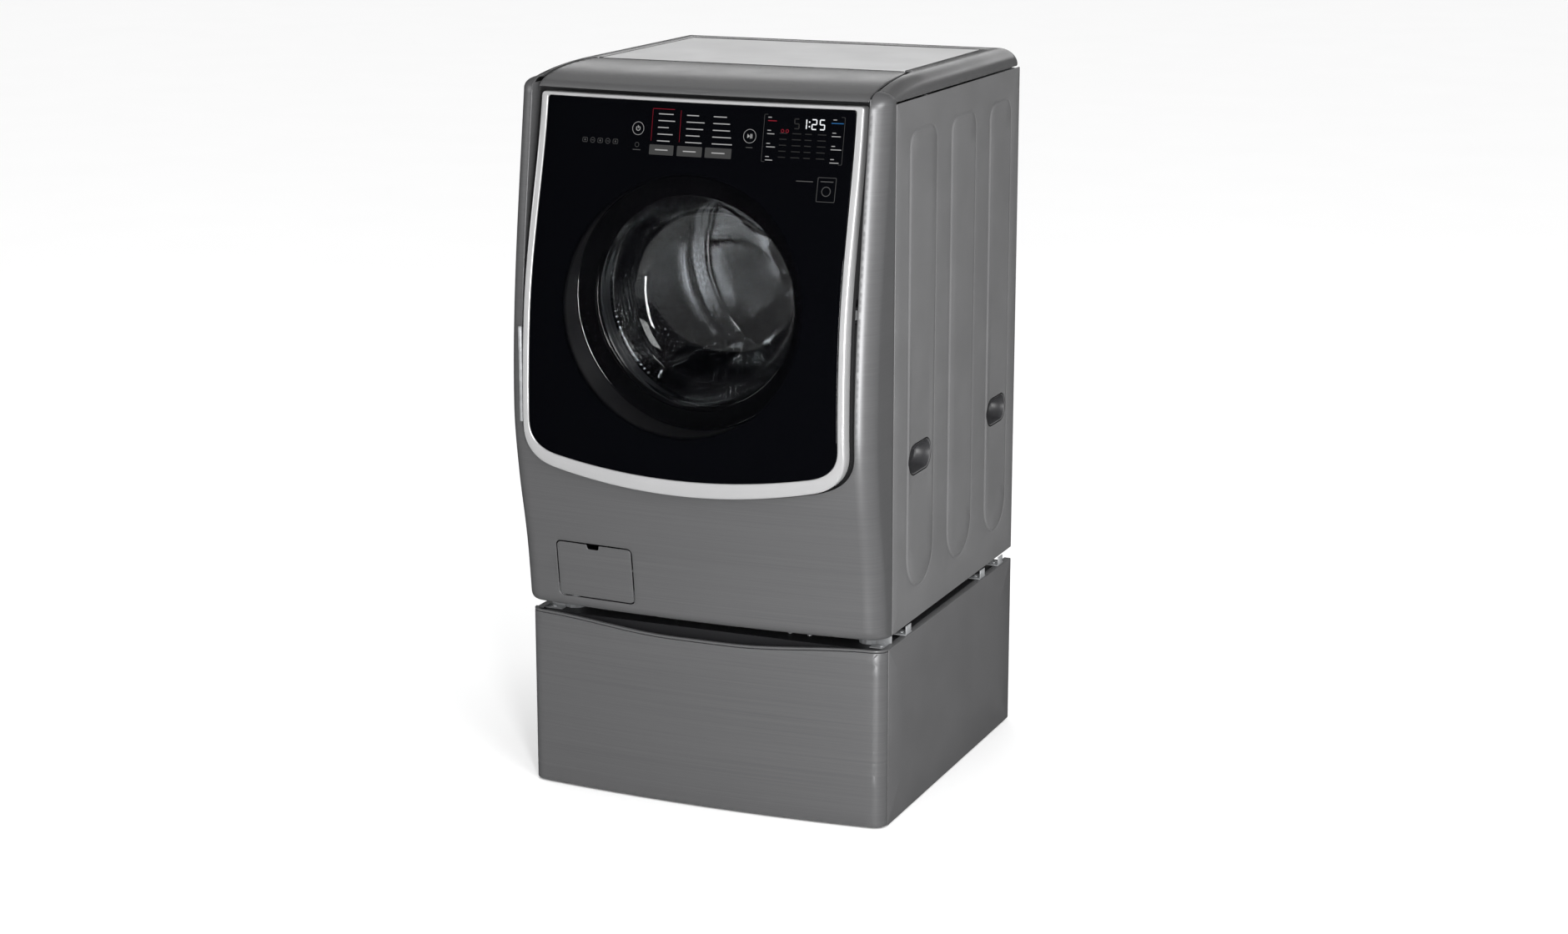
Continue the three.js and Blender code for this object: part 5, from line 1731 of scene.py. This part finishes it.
def assemble_door():
    piece(door_frame(), "door_trim", "door", CHROME, ["door_frame"])
    piece(door_glass(), "door_pane", "door", TINTED_GLASS, ["door_glass"])
    piece(door_inner_cover(), "door_lining", "door", BLACK_PLASTIC, ["door_inner_cover"])
    signs = {
        "white_signs": (white_signs(), WHITE_PRINT),
        "dim_signs": (dim_signs(), DIM_PRINT),
        "unlit_signs": (unlit_signs(), UNLIT_GLOW_PRINT),
        "key_signs": (key_signs(), KEY_PRINT),
        "key_labels": (key_labels(), WHITE_PRINT),
        "time_digits": (time_digits(), LIT_DIGITS),
        "red_signs": (red_signs(), RED_PRINT),
        "blue_signs": (blue_signs(), BLUE_PRINT),
    }
    for name, (build, look) in signs.items():
        piece(build, name, "door", look)
    piece(porthole_ring(), "window_ring", "door", RING_BLACK, ["porthole_ring"])
    piece(window_lip(), "window_lip", "door", RING_CHROME)
    piece(door_bowl(), "window_bowl", "door", BOWL_GLASS, ["door_bowl"])


def assemble_tub():
    ends = ((0, -256, AXIS_Z), (0, -290, AXIS_Z))
    stretched(door_gasket(), "bellows", GASKET_RUBBER, "grey_rubber", *ends, "door_gasket")
    for side, x in (("right", SPRING_X), ("left", -SPRING_X)):
        ends = ((x, 0, SPRING_Z[0]), (x, 0, SPRING_Z[1]))
        stretched(tub_spring(x), "spring_" + side, ZINC, "zinc_hardware", *ends, "tub_spring_" + side)
    stretched(sump_hose(), "sump_bellows", GASKET_RUBBER, "grey_rubber", HOSE[0], HOSE[-1], "sump_hose")
    piece(drum_shell(), "drum_wall", "drum", DRUM_STEEL, ["drum_shell"])
    piece(drum_bosses(), "drum_bosses", "drum", PLAIN_STEEL)
    piece(drum_rear(), "drum_end", "drum", PLAIN_STEEL, ["drum_rear"])
    piece(rear_dimples(), "rear_dimples", "drum", PLAIN_STEEL)
    for k in (1, 2, 3):
        paddle = drum_lifter(120 * k - 80)
        piece(paddle, f"lifter_{k}", "drum", PLAIN_STEEL, [f"drum_lifter_{k}"])


def assemble_pump_access():
    piece(pump_flap(), "flap_skin", "flap", FRONT_STEEL, ["pump_flap"])
    piece(filter_cap(), "filter_knob", "filter", BLACK_PLASTIC, ["filter_cap"])


def assemble_pedestal():
    piece(drawer_front(), "drawer_face", "drawer", FRONT_STEEL, ["drawer_front"])
    piece(drawer_spacer(), "drawer_spacer", "drawer", DRAWER_PAINT)
    pair(pedestal_side(), "pedestal_skin", "cabinet", PEDESTAL_SHADED_PAINT, "pedestal_side")
    for end, y in (("front", -245), ("rear", 375)):
        foot = pedestal_foot(325, y)
        pair(foot, "foot_" + end, "cabinet", FOOT_RUBBER, "pedestal_foot_" + end)
    piece(stacking_brackets(), "stacking_brackets", "cabinet", ZINC)


def assemble_rear():
    piece(rear_panel(), "rear_skin", "cabinet", ZINC_SHEET, ["rear_panel"])
    piece(rear_screws(), "rear_screws", "cabinet", ZINC)


assemble_cabinet()
assemble_door()
assemble_tub()
assemble_pump_access()
assemble_pedestal()
assemble_rear()


# ---------------------------------------------------------------- studio
def aim(obj, target):
    direction = Vector(target) - obj.location
    obj.rotation_euler = direction.to_track_quat("-Z", "Y").to_euler()


def softbox(name, location, target, size, power):
    data = bpy.data.lights.new(name, "AREA")
    data.shape = "RECTANGLE"
    data.size, data.size_y = size
    data.energy = power
    obj = bpy.data.objects.new(name, data)
    obj.location = location
    bpy.context.scene.collection.objects.link(obj)
    aim(obj, target)
    obj.visible_camera = False


def studio():
    scene = bpy.context.scene
    scene.view_settings.view_transform = "Standard"
    world = bpy.data.worlds.new("studio")
    scene.world = world
    world.use_nodes = True
    world.node_tree.nodes["Background"].inputs["Color"].default_value = (1, 1, 1, 1)
    world.node_tree.nodes["Background"].inputs["Strength"].default_value = 1.15
    world.cycles_visibility.glossy = False
    world.cycles_visibility.transmission = False
    softbox("key", (3.4, -2.6, 3.4), (0, -0.3, 0.9), (2.2, 2.2), 98)
    softbox("left", (-3.6, -1.6, 2.5), (-0.3, -0.3, 1.1), (0.9, 1.8), 16)
    softbox("strip", (1.3, -2.65, 0.95), (0.35, -0.3, 0.85), (0.3, 1.7), 62)
    softbox("rear", (-0.5, 3.4, 2.35), (0, 0, 1.4), (3.6, 0.6), 7.5)
    softbox("rear_high", (-1.1, 2.3, 3.2), (0, 0, 1.4), (2.0, 1.3), 1.5)
    softbox("drum_lamp", (0.05, -0.19, 1.13), (0, 0.25, 0.93), (0.05, 0.03), 0.22)


def floor():
    build = Build()
    reach = 3e4
    build.grid([[(-reach, y, 0), (reach, y, 0)] for y in (-reach, reach)])
    obj = build.object("floor")
    look, shader = new_material("floor_paint", (0.94, 0.94, 0.94), 0.0, 0.7)
    tinted(look, shader, noise(look, (2, 2, 2), 2), (0.93, 0.93, 0.93), (0.95, 0.95, 0.95))
    obj.data.materials.append(look)
    obj.visible_glossy = False


def camera():
    """Looks at a point from an azimuth and an elevation, at a distance in metres."""
    data = bpy.data.cameras.new("camera")
    data.sensor_width = 36
    data.lens = 68.38
    data.clip_end = 60
    obj = bpy.data.objects.new("camera", data)
    target = Vector((0.0209, 0.0375, 0.5935))
    azimuth, elevation, distance = math.radians(23.082), math.radians(13.773), 5.8908
    back = Vector((math.sin(azimuth) * math.cos(elevation),
                   -math.cos(azimuth) * math.cos(elevation), math.sin(elevation)))
    obj.location = target + back * distance
    obj.rotation_euler = (-back).to_track_quat("-Z", "Y").to_euler()
    bpy.context.scene.collection.objects.link(obj)
    bpy.context.scene.camera = obj


studio()
floor()
camera()
